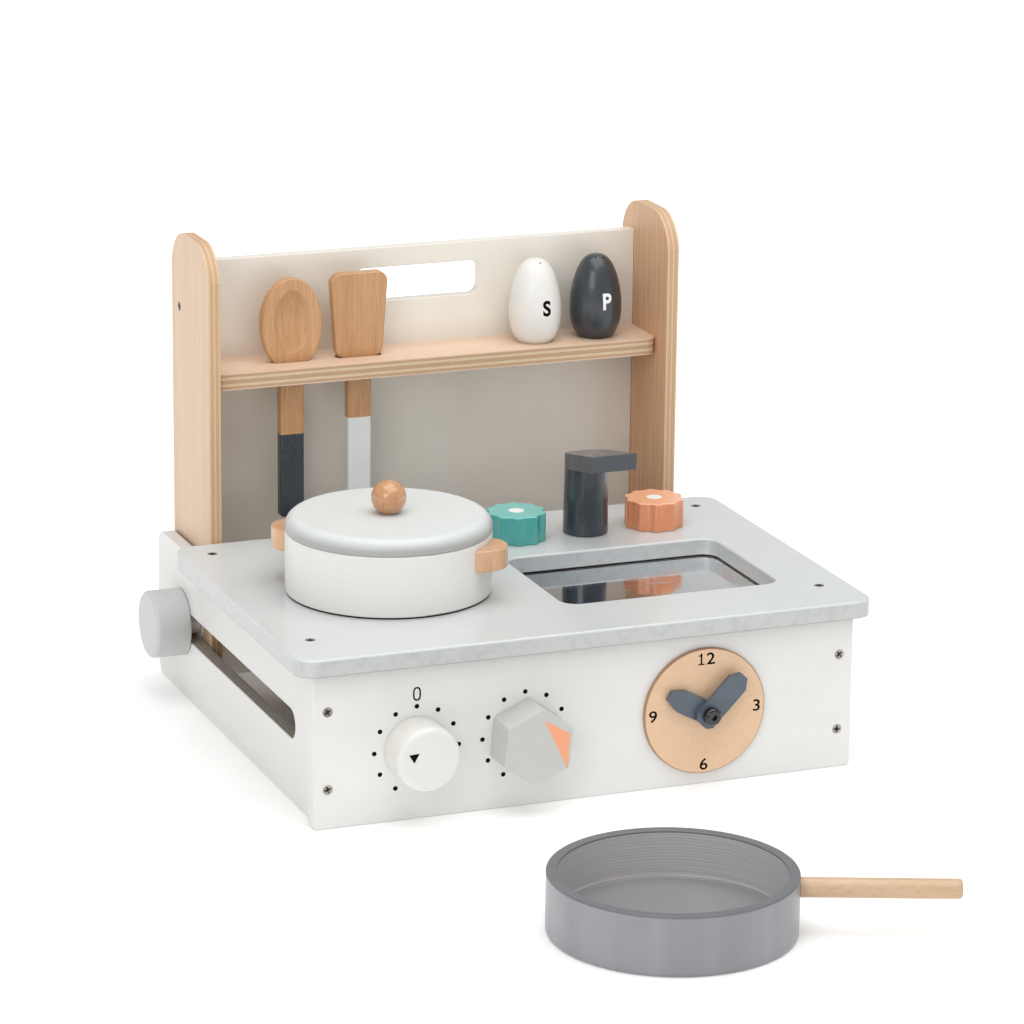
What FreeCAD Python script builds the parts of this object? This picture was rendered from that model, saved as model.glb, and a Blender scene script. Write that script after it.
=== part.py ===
import FreeCAD, Part
import math
import os
from FreeCAD import Vector

# Toy kitchen in millimetres. X runs to the right seen from the front, Y runs to the back, Z is up.
# The origin is on the floor, in the middle of the front panel's lower edge.

# Fits shared by all pieces
running_clearance = 0.08
fastener_clearance = 0.05
seat_clearance = 0.1
turning_gap = 0.3
edge_radius = 0.8

# Worktop
worktop_side_overhang = 12.5
worktop_thickness = 12.0
worktop_corner_radius = 14.0
worktop_edge_radius = 1.5

# Cabinet panels
cabinet_height = 110.0
front_width = 395.0
front_thickness = 12.0
front_overhang = 9.0
front_corner_radius = 3.0
side_thickness = 10.0
side_inset = 5.0
side_length = 352.0
side_rear_radius = 12.0

# Slots in the side panels, and the lock knobs that clamp the back frame through them
slot_height = 21.0
slot_front_margin = 40.5
pivot_height = 55.5
pivot_from_rear = 58.0
sleeve_clearance = 0.5
lock_knob_radius = 24.5
lock_knob_length = 26.0
lock_knob_edge = 3.0
stud_radius = 4.0
stud_grip = 18.0
spacer_radius = 15.0
insert_radius = 5.5
insert_flange_radius = 7.5
insert_flange = 1.0

# Back frame
frame_gap = 1.5
frame_rear_gap = 3.5
frame_floor_gap = 1.0
frame_worktop_gap = 1.0
frame_top = 340.0
upright_thickness = 9.0
upright_depth = 86.5
upright_top_front_radius = 22.0
upright_top_rear_radius = 30.0
upright_foot_front_radius = 12.0
upright_foot_rear_radius = 20.0
back_panel_thickness = 9.0
back_panel_setback = 64.0
back_panel_below_top = 28.7
handle_width = 96.0
handle_height = 25.0
handle_below_top = 12.0
handle_corner_radius = 6.5
shelf_thickness = 12.0
shelf_top = 241.2
shelf_setback = 16.5
shelf_corner_radius = 8.0
shelf_dowel_radius = 3.0
shelf_dowel_depth = 6.0
shelf_dowel_length = 24.0
shelf_dowel_inset = 11.0
panel_screw_foot = 95.0
panel_screw_below_top = 30.3

# Countersunk wood screws
screw_head_radius = 3.5
screw_shank_radius = 1.75
screw_head_depth = 2.4
screw_length = 40.0
worktop_screw_length = 32.0
screw_point = 4.0
worktop_screw_front = 44.4
worktop_screw_rear = 24.3
front_screw_spread = 54.5

# Sink cut-out, the gasket and the mirror plate under it
sink_width = 162.0
sink_depth = 117.5
sink_corner_radius = 12.0
sink_side_margin = 17.0
sink_front_margin = 60.5
gasket_thickness = 1.0
gasket_setback = 1.2
mirror_thickness = 1.2
mirror_margin = 14.0
mirror_screw_inset = 6.0
mirror_screw_radius = 1.5
mirror_screw_head_radius = 3.0
mirror_screw_head = 1.6
mirror_screw_length = 9.0

# Tap
tap_behind_sink = 44.5
post_foot_radius = 16.5
post_top_radius = 15.7
spout_rise = 11.5
spout_axis_rise = 48.0
spout_thickness = 12.0
spout_reach = 51.5
spout_tip_half_width = 17.2
tap_dowel_radius = 4.0
tap_dowel_length = 18.0
tap_screw_radius = 2.5
tap_screw_below_dowel = 8.7
tap_screw_head_radius = 5.0
tap_screw_head = 3.0
tap_washer_radius = 9.0
washer_thickness = 1.0

# Scalloped knobs beside the tap
tap_knob_spacing = 54.0
tap_knob_radius = 21.75
tap_knob_flute_depth = 2.15
tap_knob_lobes = 10
tap_knob_lobe_radius = 4.0
tap_knob_phase = 2.0
tap_knob_height = 20.7
plug_radius = 5.75
plug_length = 2.5
tap_knob_bolt_radius = 2.5
tap_knob_bolt_head_radius = 4.5
tap_knob_bolt_head = 3.5
nut_radius = 4.6
nut_height = 4.0
nut_flange_radius = 6.0
nut_flange = 1.0
bolt_overrun = 1.5

# Cooker dials on the front panel
dial_below_middle = 5.0
dial_length = 27.7
dial_screw_radius = 2.0
dial_screw_grip = 18.0
dial_screw_head_radius = 4.0
dial_screw_head = 2.6
dial_washer_radius = 6.5
round_dial_x = -125.0
round_dial_radius = 22.5
round_dial_face_radius = 4.5
hex_dial_x = -47.0
hex_dial_radius = 27.2
hex_dial_phase = 24.6
hex_dial_edge = 1.2

# Clock on the front panel
clock_x = 85.1
clock_below_middle = 1.6
clock_radius = 45.0
clock_thickness = 3.0
hand_thickness = 4.0
hand_spacing = 1.0
hand_half_width = 8.0
hand_heel = 9.0
hand_heel_flat = 3.5
hour_hand_shoulder = 22.0
hour_hand_length = 32.0
hour_hand_tip = 3.5
hour_hand_angle = 152.0
minute_hand_shoulder = 29.0
minute_hand_length = 35.6
minute_hand_tip = 3.0
minute_hand_angle = 46.0
clock_bolt_radius = 3.0
clock_cap_radius = 6.2
clock_cap_length = 5.0
clock_cap_edge = 2.2
clock_socket_radius = 2.4
clock_socket_depth = 2.4
clock_washer_radius = 7.8

# Pot and lid
pot_x = -98.7
pot_y = 121.0
pot_radius = 71.75
pot_height = 44.0
pot_wall = 8.0
pot_floor = 9.0
pot_foot_thickness = 1.2
pot_foot_inset = 1.0
lid_thickness = 11.0
lid_edge_radius = 8.5
lid_plug_depth = 8.0
lid_ball_radius = 12.2
lid_ball_sink = 1.2
lid_tenon_radius = 4.0
lid_tenon_length = 8.0
pot_handle_radius = 18.0
pot_handle_inset = 3.75
pot_handle_thickness = 15.0
pot_handle_below_rim = 4.5
pot_handle_angle = -40.0
handle_edge_radius = 1.0

# Pan, standing on the floor in front of the cabinet
pan_x = -44.5
pan_y = -253.0
pan_radius = 80.0
pan_height = 40.0
pan_wall = 7.0
pan_floor = 8.0
pan_foot_radius = 3.0
pan_handle_radius = 6.5
pan_handle_length = 102.0
pan_handle_height = 30.0
pan_handle_angle = -21.7
pan_handle_end_radius = 2.5
pan_tenon_radius = 4.0

# Spoon and spatula, hanging through slots in the shelf
utensil_thickness = 9.0
utensil_slot_gap = 1.0
utensil_slot_radius = 3.5
utensil_handle_width = 18.0
utensil_foot_drop = 116.2
utensil_edge_radius = 1.6
spoon_x = -106.3
spoon_head_half_width = 23.0
spoon_head_half_height = 34.0
spoon_head_rise = 61.5
spoon_bowl_half_width = 13.5
spoon_bowl_half_height = 23.7
spoon_bowl_depth = 4.5
spoon_bowl_rise = 2.0
spatula_x = -54.7
spatula_head_rise = 64.0
spatula_top_half_width = 22.0
spatula_foot_half_width = 17.6
spatula_head_drop = 5.4
spatula_top_radius = 8.0
spatula_foot_radius = 10.0

# Salt and pepper shakers on the shelf
shaker_radius = 18.9
shaker_height = 62.0
shaker_foot_cut = 3.5
shaker_fullness = 0.2
shaker_profile_points = 12
salt_x = 83.6
pepper_x = 131.9

X_AXIS = Vector(1, 0, 0)
Y_AXIS = Vector(0, 1, 0)
Z_AXIS = Vector(0, 0, 1)
PLANES = {"xy": (X_AXIS, Y_AXIS, Z_AXIS), "xz": (X_AXIS, Z_AXIS, Y_AXIS), "yz": (Y_AXIS, Z_AXIS, X_AXIS)}

# Places that several pieces share
front_face = -front_thickness / 2
front_back = front_thickness / 2
worktop_front = front_face - front_overhang
worktop_width = front_width + 2 * worktop_side_overhang
worktop_top = cabinet_height + worktop_thickness
side_outer = front_width / 2 - side_inset
side_inner = side_outer - side_thickness
side_middle = side_outer - side_thickness / 2
side_rear = front_back + side_length
pivot_y = side_rear - pivot_from_rear
upright_outer = side_inner - frame_gap
upright_inner = upright_outer - upright_thickness
upright_rear = side_rear - frame_rear_gap
upright_front = upright_rear - upright_depth
worktop_back = upright_front - frame_worktop_gap
worktop_depth = worktop_back - worktop_front
panel_front = upright_front + back_panel_setback
panel_rear = panel_front + back_panel_thickness
shelf_front = upright_front + shelf_setback
shelf_middle = (shelf_front + panel_front) / 2
back_panel_top = frame_top - back_panel_below_top
panel_screw_heights = [panel_screw_foot, back_panel_top - panel_screw_below_top]
sink_x = side_inner - sink_side_margin - sink_width / 2
sink_front = worktop_front + sink_front_margin
sink_back = sink_front + sink_depth
tap_y = sink_back + tap_behind_sink
tap_foot = worktop_top + turning_gap
spout_axis_height = worktop_top + spout_axis_rise
tap_screw_tip = spout_axis_height - tap_dowel_length / 2 - tap_screw_below_dowel
dial_height = cabinet_height / 2 - dial_below_middle
clock_height = cabinet_height / 2 - clock_below_middle
pot_rim = worktop_top + pot_height
lid_top = pot_rim + lid_thickness
utensil_foot_height = shelf_top - utensil_foot_drop
spoon_head_middle = shelf_top + spoon_head_rise - spoon_head_half_height
spatula_head_top = shelf_top + spatula_head_rise
spatula_head_foot = shelf_top - spatula_head_drop


def flat_face(plane, corners, radii, level):
    across, up, through = PLANES[plane]
    points = [across * u + up * v + through * level for u, v in corners]
    edges = []
    last_end = None
    first_start = None
    for index, corner in enumerate(points):
        to_last = (points[index - 1] - corner).normalize()
        to_next = (points[(index + 1) % len(points)] - corner).normalize()
        radius = radii[index]
        half_angle = to_last.getAngle(to_next) / 2
        reach = radius / math.tan(half_angle)
        start = corner + to_last * reach
        end = corner + to_next * reach
        if last_end is not None and (start - last_end).Length > 1e-6:
            edges.append(Part.LineSegment(last_end, start).toShape())
        if radius > 0:
            bisector = (to_last + to_next).normalize()
            middle = corner + bisector * (radius / math.sin(half_angle) - radius)
            edges.append(Part.Arc(start, middle, end).toShape())
        if first_start is None:
            first_start = start
        last_end = end
    if (first_start - last_end).Length > 1e-6:
        edges.append(Part.LineSegment(last_end, first_start).toShape())
    return Part.Face(Part.Wire(edges))


def plate(plane, corners, radii, level, thickness):
    return flat_face(plane, corners, radii, level).extrude(PLANES[plane][2] * thickness)


def rectangle(low_u, high_u, low_v, high_v):
    return [(low_u, low_v), (high_u, low_v), (high_u, high_v), (low_u, high_v)]


def turned(profile, radii, base, axis):
    solid = flat_face("xz", profile, radii, 0).revolve(Vector(), Z_AXIS, 360)
    solid.Placement = FreeCAD.Placement(base, FreeCAD.Rotation(Z_AXIS, axis))
    return solid


def rod(radius, base, axis, length):
    start = base if length > 0 else base + axis * length
    return Part.makeCylinder(radius, abs(length), start, axis)


def ring(outer, inner, base, axis, length):
    return rod(outer, base, axis, length).cut(rod(inner, base, axis, length))


def eased(shape, axis, levels, radius):
    edges = []
    for edge in shape.Edges:
        box = edge.BoundBox
        low, high = {"x": (box.XMin, box.XMax), "y": (box.YMin, box.YMax), "z": (box.ZMin, box.ZMax)}[axis]
        if any(abs(low - level) < 1e-4 and abs(high - level) < 1e-4 for level in levels):
            edges.append(edge)
    return shape.makeFillet(radius, edges)


def countersunk(at, into, length, growth=0.0):
    head = screw_head_radius + growth
    shank = screw_shank_radius + growth
    end = length + growth
    profile = [(0, -growth), (head, -growth), (head, 0.2), (shank, screw_head_depth),
               (shank, end - screw_point), (0, end)]
    return turned(profile, [0] * len(profile), at, into)


def round_head_screw(at, into, shank, head, head_height, length):
    head_solid = turned([(0, -head_height), (head, -head_height), (head, 0), (0, 0)],
                        [0, head_height * 0.6, 0, 0], at, into)
    return head_solid.fuse(rod(shank, at, into, length)).removeSplitter()


def hexagon(radius, phase=0.0):
    angles = [math.radians(phase + 60 * step) for step in range(6)]
    return [(radius * math.cos(angle), radius * math.sin(angle)) for angle in angles]


def moved(shape, offset):
    copy = shape.copy()
    copy.translate(offset)
    return copy


def mirrored(shape):
    return shape.mirror(Vector(), X_AXIS)


def cut_all(shape, tools):
    return shape.cut(Part.makeCompound(tools)) if tools else shape


def export(node, shape):
    shape.exportStep("parts/" + node + ".step")


def group(solids):
    return Part.makeCompound(solids)


# Fasteners that join the cabinet panels

def worktop_screw_places():
    rows = [worktop_front + worktop_screw_front, worktop_back - worktop_screw_rear]
    return [Vector(side * side_middle, y, worktop_top) for side in (-1, 1) for y in rows]


def front_screw_places():
    heights = [(cabinet_height - front_screw_spread) / 2, (cabinet_height + front_screw_spread) / 2]
    return [Vector(side * side_middle, front_face, z) for side in (-1, 1) for z in heights]


def panel_screw_places():
    middle = (panel_front + panel_rear) / 2
    return [(Vector(side * upright_outer, middle, z), X_AXIS * -side) for side in (-1, 1) for z in panel_screw_heights]


def worktop_screws(growth=0.0):
    return [countersunk(at, Z_AXIS * -1, worktop_screw_length, growth) for at in worktop_screw_places()]


def front_screws(growth=0.0):
    return [countersunk(at, Y_AXIS, screw_length, growth) for at in front_screw_places()]


def panel_screws(growth=0.0):
    return [countersunk(at, into, screw_length, growth) for at, into in panel_screw_places()]


def mirror_screw_places():
    reach = mirror_margin - mirror_screw_inset
    columns = [sink_x - sink_width / 2 - reach, sink_x + sink_width / 2 + reach]
    rows = [sink_front - reach, sink_back + reach]
    under = cabinet_height - gasket_thickness - mirror_thickness
    return [Vector(x, y, under) for x in columns for y in rows]


def mirror_screws():
    return [round_head_screw(at, Z_AXIS, mirror_screw_radius, mirror_screw_head_radius, mirror_screw_head,
                             mirror_screw_length) for at in mirror_screw_places()]


def mirror_screw_holes():
    hole = mirror_screw_radius + fastener_clearance
    return [rod(hole, at, Z_AXIS, mirror_screw_length + fastener_clearance) for at in mirror_screw_places()]


# Cabinet

def sink_outline(growth):
    return rectangle(sink_x - sink_width / 2 - growth, sink_x + sink_width / 2 + growth,
                     sink_front - growth, sink_back + growth)


def worktop():
    corners = rectangle(-worktop_width / 2, worktop_width / 2, worktop_front, worktop_back)
    board = plate("xy", corners, [worktop_corner_radius] * 4, cabinet_height, worktop_thickness)
    hollow = plate("xy", sink_outline(0), [sink_corner_radius] * 4, cabinet_height, worktop_thickness)
    board = eased(board.cut(hollow), "z", [worktop_top], worktop_edge_radius)
    holes = worktop_screws(fastener_clearance) + mirror_screw_holes()
    for x in (sink_x - tap_knob_spacing, sink_x + tap_knob_spacing):
        holes.append(rod(tap_knob_bolt_radius + running_clearance, Vector(x, tap_y, cabinet_height), Z_AXIS,
                         worktop_thickness))
    holes.append(rod(tap_screw_radius + running_clearance, Vector(sink_x, tap_y, cabinet_height), Z_AXIS,
                     worktop_thickness))
    return cut_all(board, holes)


def side_panel():
    corners = rectangle(front_back, side_rear, 0, cabinet_height)
    board = plate("yz", corners, [0, side_rear_radius, side_rear_radius, 0], side_inner, side_thickness)
    slot_rear = pivot_y + slot_height / 2
    slot = plate("yz", rectangle(front_back + slot_front_margin, slot_rear, pivot_height - slot_height / 2,
                                 pivot_height + slot_height / 2), [slot_height / 2] * 4,
                 side_inner, side_thickness)
    return eased(board.cut(slot), "x", [side_outer, side_inner], edge_radius)


def front_panel():
    corners = rectangle(-front_width / 2, front_width / 2, 0, cabinet_height)
    board = plate("xz", corners, [front_corner_radius] * 4, front_face, front_thickness)
    board = eased(board, "y", [front_face, front_back], edge_radius)
    holes = front_screws(fastener_clearance)
    for x in (round_dial_x, hex_dial_x):
        holes.append(rod(dial_screw_radius + running_clearance, Vector(x, front_face, dial_height), Y_AXIS,
                         front_thickness))
    holes.append(rod(clock_bolt_radius + fastener_clearance, Vector(clock_x, front_face, clock_height), Y_AXIS,
                     front_thickness))
    return cut_all(board, holes)


def sink_gasket():
    outer = plate("xy", sink_outline(mirror_margin), [sink_corner_radius] * 4, cabinet_height, -gasket_thickness)
    inner = plate("xy", sink_outline(gasket_setback), [sink_corner_radius] * 4, cabinet_height, -gasket_thickness)
    return cut_all(outer.cut(inner), mirror_screw_holes())


def mirror_plate():
    top = cabinet_height - gasket_thickness
    sheet = plate("xy", sink_outline(mirror_margin), [sink_corner_radius] * 4, top, -mirror_thickness)
    return cut_all(sheet, mirror_screw_holes())


def export_cabinet():
    right = side_panel()
    fixings = worktop_screws(fastener_clearance) + front_screws(fastener_clearance)
    export("side_panel_right", cut_all(right, fixings))
    export("side_panel_left", cut_all(mirrored(right), fixings))
    export("front_panel", front_panel())
    export("worktop", worktop())
    export("sink_gasket", sink_gasket())
    export("mirror_plate", mirror_plate())
    export("mirror_screws", group(mirror_screws()))
    export("worktop_screws", group(worktop_screws()))
    export("front_screws", group(front_screws()))


# Back frame: two uprights, the panel between them and the shelf

def stud_bore(length_from, length):
    return rod(stud_radius + running_clearance, Vector(length_from, pivot_y, pivot_height), X_AXIS, length)


def shelf_dowels():
    height = shelf_top - shelf_thickness / 2
    rows = [shelf_front + shelf_dowel_inset, panel_front - shelf_dowel_inset]
    start = upright_inner + shelf_dowel_depth
    return [rod(shelf_dowel_radius, Vector(side * start, y, height), X_AXIS * -side, shelf_dowel_length)
            for side in (-1, 1) for y in rows]


def upright():
    corners = rectangle(upright_front, upright_rear, frame_floor_gap, frame_top)
    radii = [upright_foot_front_radius, upright_foot_rear_radius, upright_top_rear_radius, upright_top_front_radius]
    board = plate("yz", corners, radii, upright_inner, upright_thickness)
    board = eased(board, "x", [upright_inner, upright_outer], edge_radius)
    insert_hole = rod(insert_radius + fastener_clearance, Vector(upright_inner, pivot_y, pivot_height), X_AXIS,
                      upright_thickness)
    return board.cut(insert_hole)


def back_panel():
    corners = rectangle(-upright_inner, upright_inner, 2 * frame_floor_gap, back_panel_top)
    board = plate("xz", corners, [0] * 4, panel_front, back_panel_thickness)
    handle_top = back_panel_top - handle_below_top
    handle = plate("xz", rectangle(-handle_width / 2, handle_width / 2, handle_top - handle_height, handle_top),
                   [handle_corner_radius] * 4, panel_front, back_panel_thickness)
    return eased(board.cut(handle), "y", [panel_front, panel_rear], edge_radius)


def shelf():
    corners = rectangle(-upright_inner, upright_inner, shelf_front, panel_front)
    board = plate("xy", corners, [shelf_corner_radius, shelf_corner_radius, 0, 0], shelf_top, -shelf_thickness)
    return cut_all(board, [utensil_slot(spoon_x, spoon_half_width_at(shelf_top)),
                           utensil_slot(spatula_x, spatula_half_width_at(shelf_top))])


def utensil_slot(x, head_half_width):
    reach_x = max(head_half_width, utensil_handle_width / 2) + turning_gap
    reach_y = utensil_thickness / 2 + utensil_slot_gap
    corners = rectangle(x - reach_x, x + reach_x, shelf_middle - reach_y, shelf_middle + reach_y)
    return plate("xy", corners, [utensil_slot_radius] * 4, shelf_top, -shelf_thickness)


def insert_nut():
    barrel = rod(insert_radius, Vector(upright_inner, pivot_y, pivot_height), X_AXIS, upright_thickness)
    flange = rod(insert_flange_radius, Vector(upright_inner, pivot_y, pivot_height), X_AXIS, -insert_flange)
    start = upright_inner - insert_flange
    return barrel.fuse(flange).cut(stud_bore(start, insert_flange + upright_thickness)).removeSplitter()


def spacer_washer():
    length = frame_gap - turning_gap
    washer = rod(spacer_radius, Vector(upright_outer, pivot_y, pivot_height), X_AXIS, length)
    return washer.cut(stud_bore(upright_outer, length))


def guide_sleeve():
    start = side_inner - turning_gap
    length = side_thickness + 2 * turning_gap - seat_clearance
    sleeve = rod(slot_height / 2 - sleeve_clearance, Vector(start, pivot_y, pivot_height), X_AXIS, length)
    return sleeve.cut(stud_bore(start, length))


def both_sides(shape):
    return group([mirrored(shape), shape])


def export_back_frame():
    right = upright()
    dowels = shelf_dowels()
    screws = panel_screws(fastener_clearance)
    dowel_holes = [rod(shelf_dowel_radius + fastener_clearance, dowel.CenterOfMass
                       - X_AXIS * (shelf_dowel_length / 2 + fastener_clearance), X_AXIS,
                       shelf_dowel_length + 2 * fastener_clearance) for dowel in dowels]
    export("upright_right", cut_all(right, screws + dowel_holes))
    export("upright_left", cut_all(mirrored(right), screws + dowel_holes))
    export("back_panel", cut_all(back_panel(), screws))
    export("shelf", cut_all(shelf(), dowel_holes))
    export("panel_screws", group(panel_screws()))
    export("shelf_dowels", group(dowels))
    export("insert_nuts", both_sides(insert_nut()))
    export("spacer_washers", both_sides(spacer_washer()))
    export("guide_sleeves", both_sides(guide_sleeve()))


def lock_stud():
    start = upright_inner
    length = side_outer + turning_gap + stud_grip - start
    return rod(stud_radius, Vector(start, pivot_y, pivot_height), X_AXIS, length)


def lock_knob():
    profile = [(0, 0), (lock_knob_radius, 0), (lock_knob_radius, lock_knob_length), (0, lock_knob_length)]
    radii = [0, edge_radius, lock_knob_edge, 0]
    base = Vector(side_outer + turning_gap, pivot_y, pivot_height)
    socket = rod(stud_radius + fastener_clearance, base, X_AXIS, stud_grip + fastener_clearance)
    return turned(profile, radii, base, X_AXIS).cut(socket)


def export_lock_knobs():
    export("lock_knob_right", lock_knob())
    export("lock_knob_left", mirrored(lock_knob()))
    export("lock_stud_right", lock_stud())
    export("lock_stud_left", mirrored(lock_stud()))


# Tap and its two knobs

def tilted_slab(low, high):
    # A slab between two parallel planes that rise towards the front, measured at the tap's axis.
    reach = worktop_depth
    rise = math.tan(math.radians(spout_rise))
    corners = [(tap_y - reach, low + reach * rise), (tap_y + reach, low - reach * rise),
               (tap_y + reach, high - reach * rise), (tap_y - reach, high + reach * rise)]
    return plate("yz", corners, [0] * 4, sink_x - reach, 2 * reach)


def tap_dowel_hole(growth):
    base = Vector(sink_x, tap_y, spout_axis_height - tap_dowel_length / 2 - growth)
    return rod(tap_dowel_radius + growth, base, Z_AXIS, tap_dowel_length + 2 * growth)


def tap_post():
    reach = spout_axis_height + post_foot_radius
    profile = [(0, tap_foot), (post_foot_radius, tap_foot), (post_top_radius, spout_axis_height),
               (post_top_radius, reach), (0, reach)]
    post = turned(profile, [0, edge_radius, 0, 0, 0], Vector(sink_x, tap_y, 0), Z_AXIS)
    post = post.common(tilted_slab(-worktop_depth, spout_axis_height))
    screw_hole = rod(tap_screw_radius + fastener_clearance, Vector(sink_x, tap_y, tap_foot), Z_AXIS,
                     tap_screw_tip - tap_foot + fastener_clearance)
    return cut_all(post, [screw_hole, tap_dowel_hole(fastener_clearance)])


def tap_spout():
    # Plan of the spout: a round end about the post and straight sides that widen to the tip.
    slope = math.asin((spout_tip_half_width - post_top_radius) / spout_reach)
    side_x = post_top_radius * math.cos(slope)
    side_y = post_top_radius * math.sin(slope)
    low = spout_axis_height
    tip = [Vector(sink_x + side * spout_tip_half_width, tap_y - spout_reach, low) for side in (-1, 1)]
    root = [Vector(sink_x + side * side_x, tap_y - side_y, low) for side in (-1, 1)]
    back = Vector(sink_x, tap_y + post_top_radius, low)
    edges = [Part.LineSegment(root[0], tip[0]).toShape(), Part.LineSegment(tip[0], tip[1]).toShape(),
             Part.LineSegment(tip[1], root[1]).toShape(), Part.Arc(root[1], back, root[0]).toShape()]
    column = Part.Face(Part.Wire(edges)).extrude(Z_AXIS * (spout_thickness + spout_reach))
    spout = column.common(tilted_slab(spout_axis_height, spout_axis_height + spout_thickness))
    return spout.cut(tap_dowel_hole(fastener_clearance))


def export_tap():
    under = Vector(sink_x, tap_y, cabinet_height - turning_gap - washer_thickness)
    washer = ring(tap_washer_radius, tap_screw_radius + fastener_clearance, under, Z_AXIS, washer_thickness)
    screw = round_head_screw(under, Z_AXIS, tap_screw_radius, tap_screw_head_radius, tap_screw_head,
                             tap_screw_tip - under.z)
    export("tap_post", tap_post())
    export("tap_spout", tap_spout())
    export("tap_dowel", tap_dowel_hole(0))
    export("tap_screw", screw)
    export("tap_washer", washer)


def scalloped_outline(level):
    # Round lobes and hollows in turn, each arc running into the next without a corner.
    step = math.pi / tap_knob_lobes
    lobe_centre = tap_knob_radius - tap_knob_lobe_radius
    spread = lobe_centre * math.cos(step)
    valley = tap_knob_radius - tap_knob_flute_depth
    gap = lobe_centre ** 2 + valley ** 2 - 2 * valley * spread - tap_knob_lobe_radius ** 2
    hollow_radius = gap / (2 * (tap_knob_lobe_radius - valley + spread))
    hollow_centre = valley + hollow_radius

    def polar(radius, angle):
        return Vector(radius * math.cos(angle), radius * math.sin(angle), level)

    def seam(lobe_angle, side):
        start = polar(lobe_centre, lobe_angle)
        towards = polar(hollow_centre, lobe_angle + side * step) - start
        return start + towards.normalize() * tap_knob_lobe_radius

    edges = []
    for lobe in range(tap_knob_lobes):
        angle = math.radians(tap_knob_phase) + 2 * step * lobe
        edges.append(Part.Arc(seam(angle, -1), polar(tap_knob_radius, angle), seam(angle, 1)).toShape())
        after = angle + 2 * step
        edges.append(Part.Arc(seam(angle, 1), polar(valley, angle + step), seam(after, -1)).toShape())
    return Part.Face(Part.Wire(edges))


def tap_knob():
    foot = tap_foot
    top = foot + tap_knob_height
    body = scalloped_outline(foot).extrude(Z_AXIS * tap_knob_height)
    body = eased(body, "z", [top], edge_radius)
    seat = top - plug_length - tap_knob_bolt_head - seat_clearance
    pocket = rod(plug_radius + fastener_clearance, Vector(0, 0, seat), Z_AXIS, top - seat)
    hole = rod(tap_knob_bolt_radius + fastener_clearance, Vector(0, 0, foot), Z_AXIS, tap_knob_height)
    return cut_all(body, [pocket, hole])


def tap_knob_plug():
    top = tap_foot + tap_knob_height
    return rod(plug_radius, Vector(0, 0, top - plug_length), Z_AXIS, plug_length)


def tap_knob_nut_seat():
    return cabinet_height - turning_gap


def tap_knob_bolt():
    top = tap_foot + tap_knob_height
    seat = top - plug_length - tap_knob_bolt_head - seat_clearance
    end = tap_knob_nut_seat() - nut_height - bolt_overrun
    return round_head_screw(Vector(0, 0, seat), Z_AXIS * -1, tap_knob_bolt_radius, tap_knob_bolt_head_radius,
                            tap_knob_bolt_head, seat - end)


def flange_nut(bore):
    outline = hexagon(nut_radius)
    nut = plate("xy", outline, [0] * 6, 0, nut_height)
    flange = rod(nut_flange_radius, Vector(0, 0, nut_height - nut_flange), Z_AXIS, nut_flange)
    return nut.fuse(flange).cut(rod(bore, Vector(0, 0, 0), Z_AXIS, nut_height)).removeSplitter()


def export_tap_knobs():
    for name, side in (("teal", -1), ("salmon", 1)):
        place = Vector(sink_x + side * tap_knob_spacing, tap_y, 0)
        nut_place = place + Z_AXIS * (tap_knob_nut_seat() - nut_height)
        export(name + "_knob", moved(tap_knob(), place))
        export(name + "_knob_plug", moved(tap_knob_plug(), place))
        export(name + "_knob_bolt", moved(tap_knob_bolt(), place))
        export(name + "_knob_nut", moved(flange_nut(tap_knob_bolt_radius + fastener_clearance), nut_place))


# Cooker dials

def dial_screw_hole(x, back):
    return rod(dial_screw_radius + fastener_clearance, Vector(x, back, dial_height), Y_AXIS * -1,
               dial_screw_grip + fastener_clearance)


def round_dial():
    back = front_face - turning_gap
    profile = [(0, 0), (round_dial_radius, 0), (round_dial_radius, dial_length), (0, dial_length)]
    body = turned(profile, [0, edge_radius, round_dial_face_radius, 0], Vector(round_dial_x, back, dial_height),
                  Y_AXIS * -1)
    return body.cut(dial_screw_hole(round_dial_x, back))


def hex_dial():
    back = front_face - turning_gap
    corners = [(hex_dial_x + u, dial_height + v) for u, v in hexagon(hex_dial_radius, hex_dial_phase)]
    body = plate("xz", corners, [hex_dial_edge] * 6, back, -dial_length)
    body = eased(body, "y", [back - dial_length], hex_dial_edge / 2)
    return body.cut(dial_screw_hole(hex_dial_x, back))


def export_dials():
    shank = front_thickness + 2 * turning_gap + washer_thickness + dial_screw_grip
    for name, x, body in (("round_dial", round_dial_x, round_dial()), ("hex_dial", hex_dial_x, hex_dial())):
        inside = Vector(x, front_back + turning_gap, dial_height)
        head_seat = inside + Y_AXIS * washer_thickness
        export(name, body)
        export(name + "_washer", ring(dial_washer_radius, dial_screw_radius + fastener_clearance, inside, Y_AXIS,
                                      washer_thickness))
        export(name + "_screw", round_head_screw(head_seat, Y_AXIS * -1, dial_screw_radius,
                                                 dial_screw_head_radius, dial_screw_head, shank))


# Clock

def clock_layer(order):
    # Distance in front of the panel of the space before each hand.
    return clock_thickness + order * (hand_spacing + hand_thickness)


def clock_hand(shoulder, length, tip, angle, order):
    heel = hand_half_width - hand_heel_flat
    corners = [(-hand_heel, -heel), (-hand_heel + hand_heel_flat, -hand_half_width), (shoulder, -hand_half_width),
               (length, -tip), (length, tip), (shoulder, hand_half_width),
               (-hand_heel + hand_heel_flat, hand_half_width), (-hand_heel, heel)]
    back = front_face - clock_layer(order) - hand_spacing
    hand = plate("xz", corners, [1.0] * 8, 0, -hand_thickness)
    hand = hand.cut(rod(clock_bolt_radius + running_clearance, Vector(), Y_AXIS * -1, hand_thickness))
    hand.rotate(Vector(), Y_AXIS, -angle)
    return moved(hand, Vector(clock_x, back, clock_height))


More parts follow.
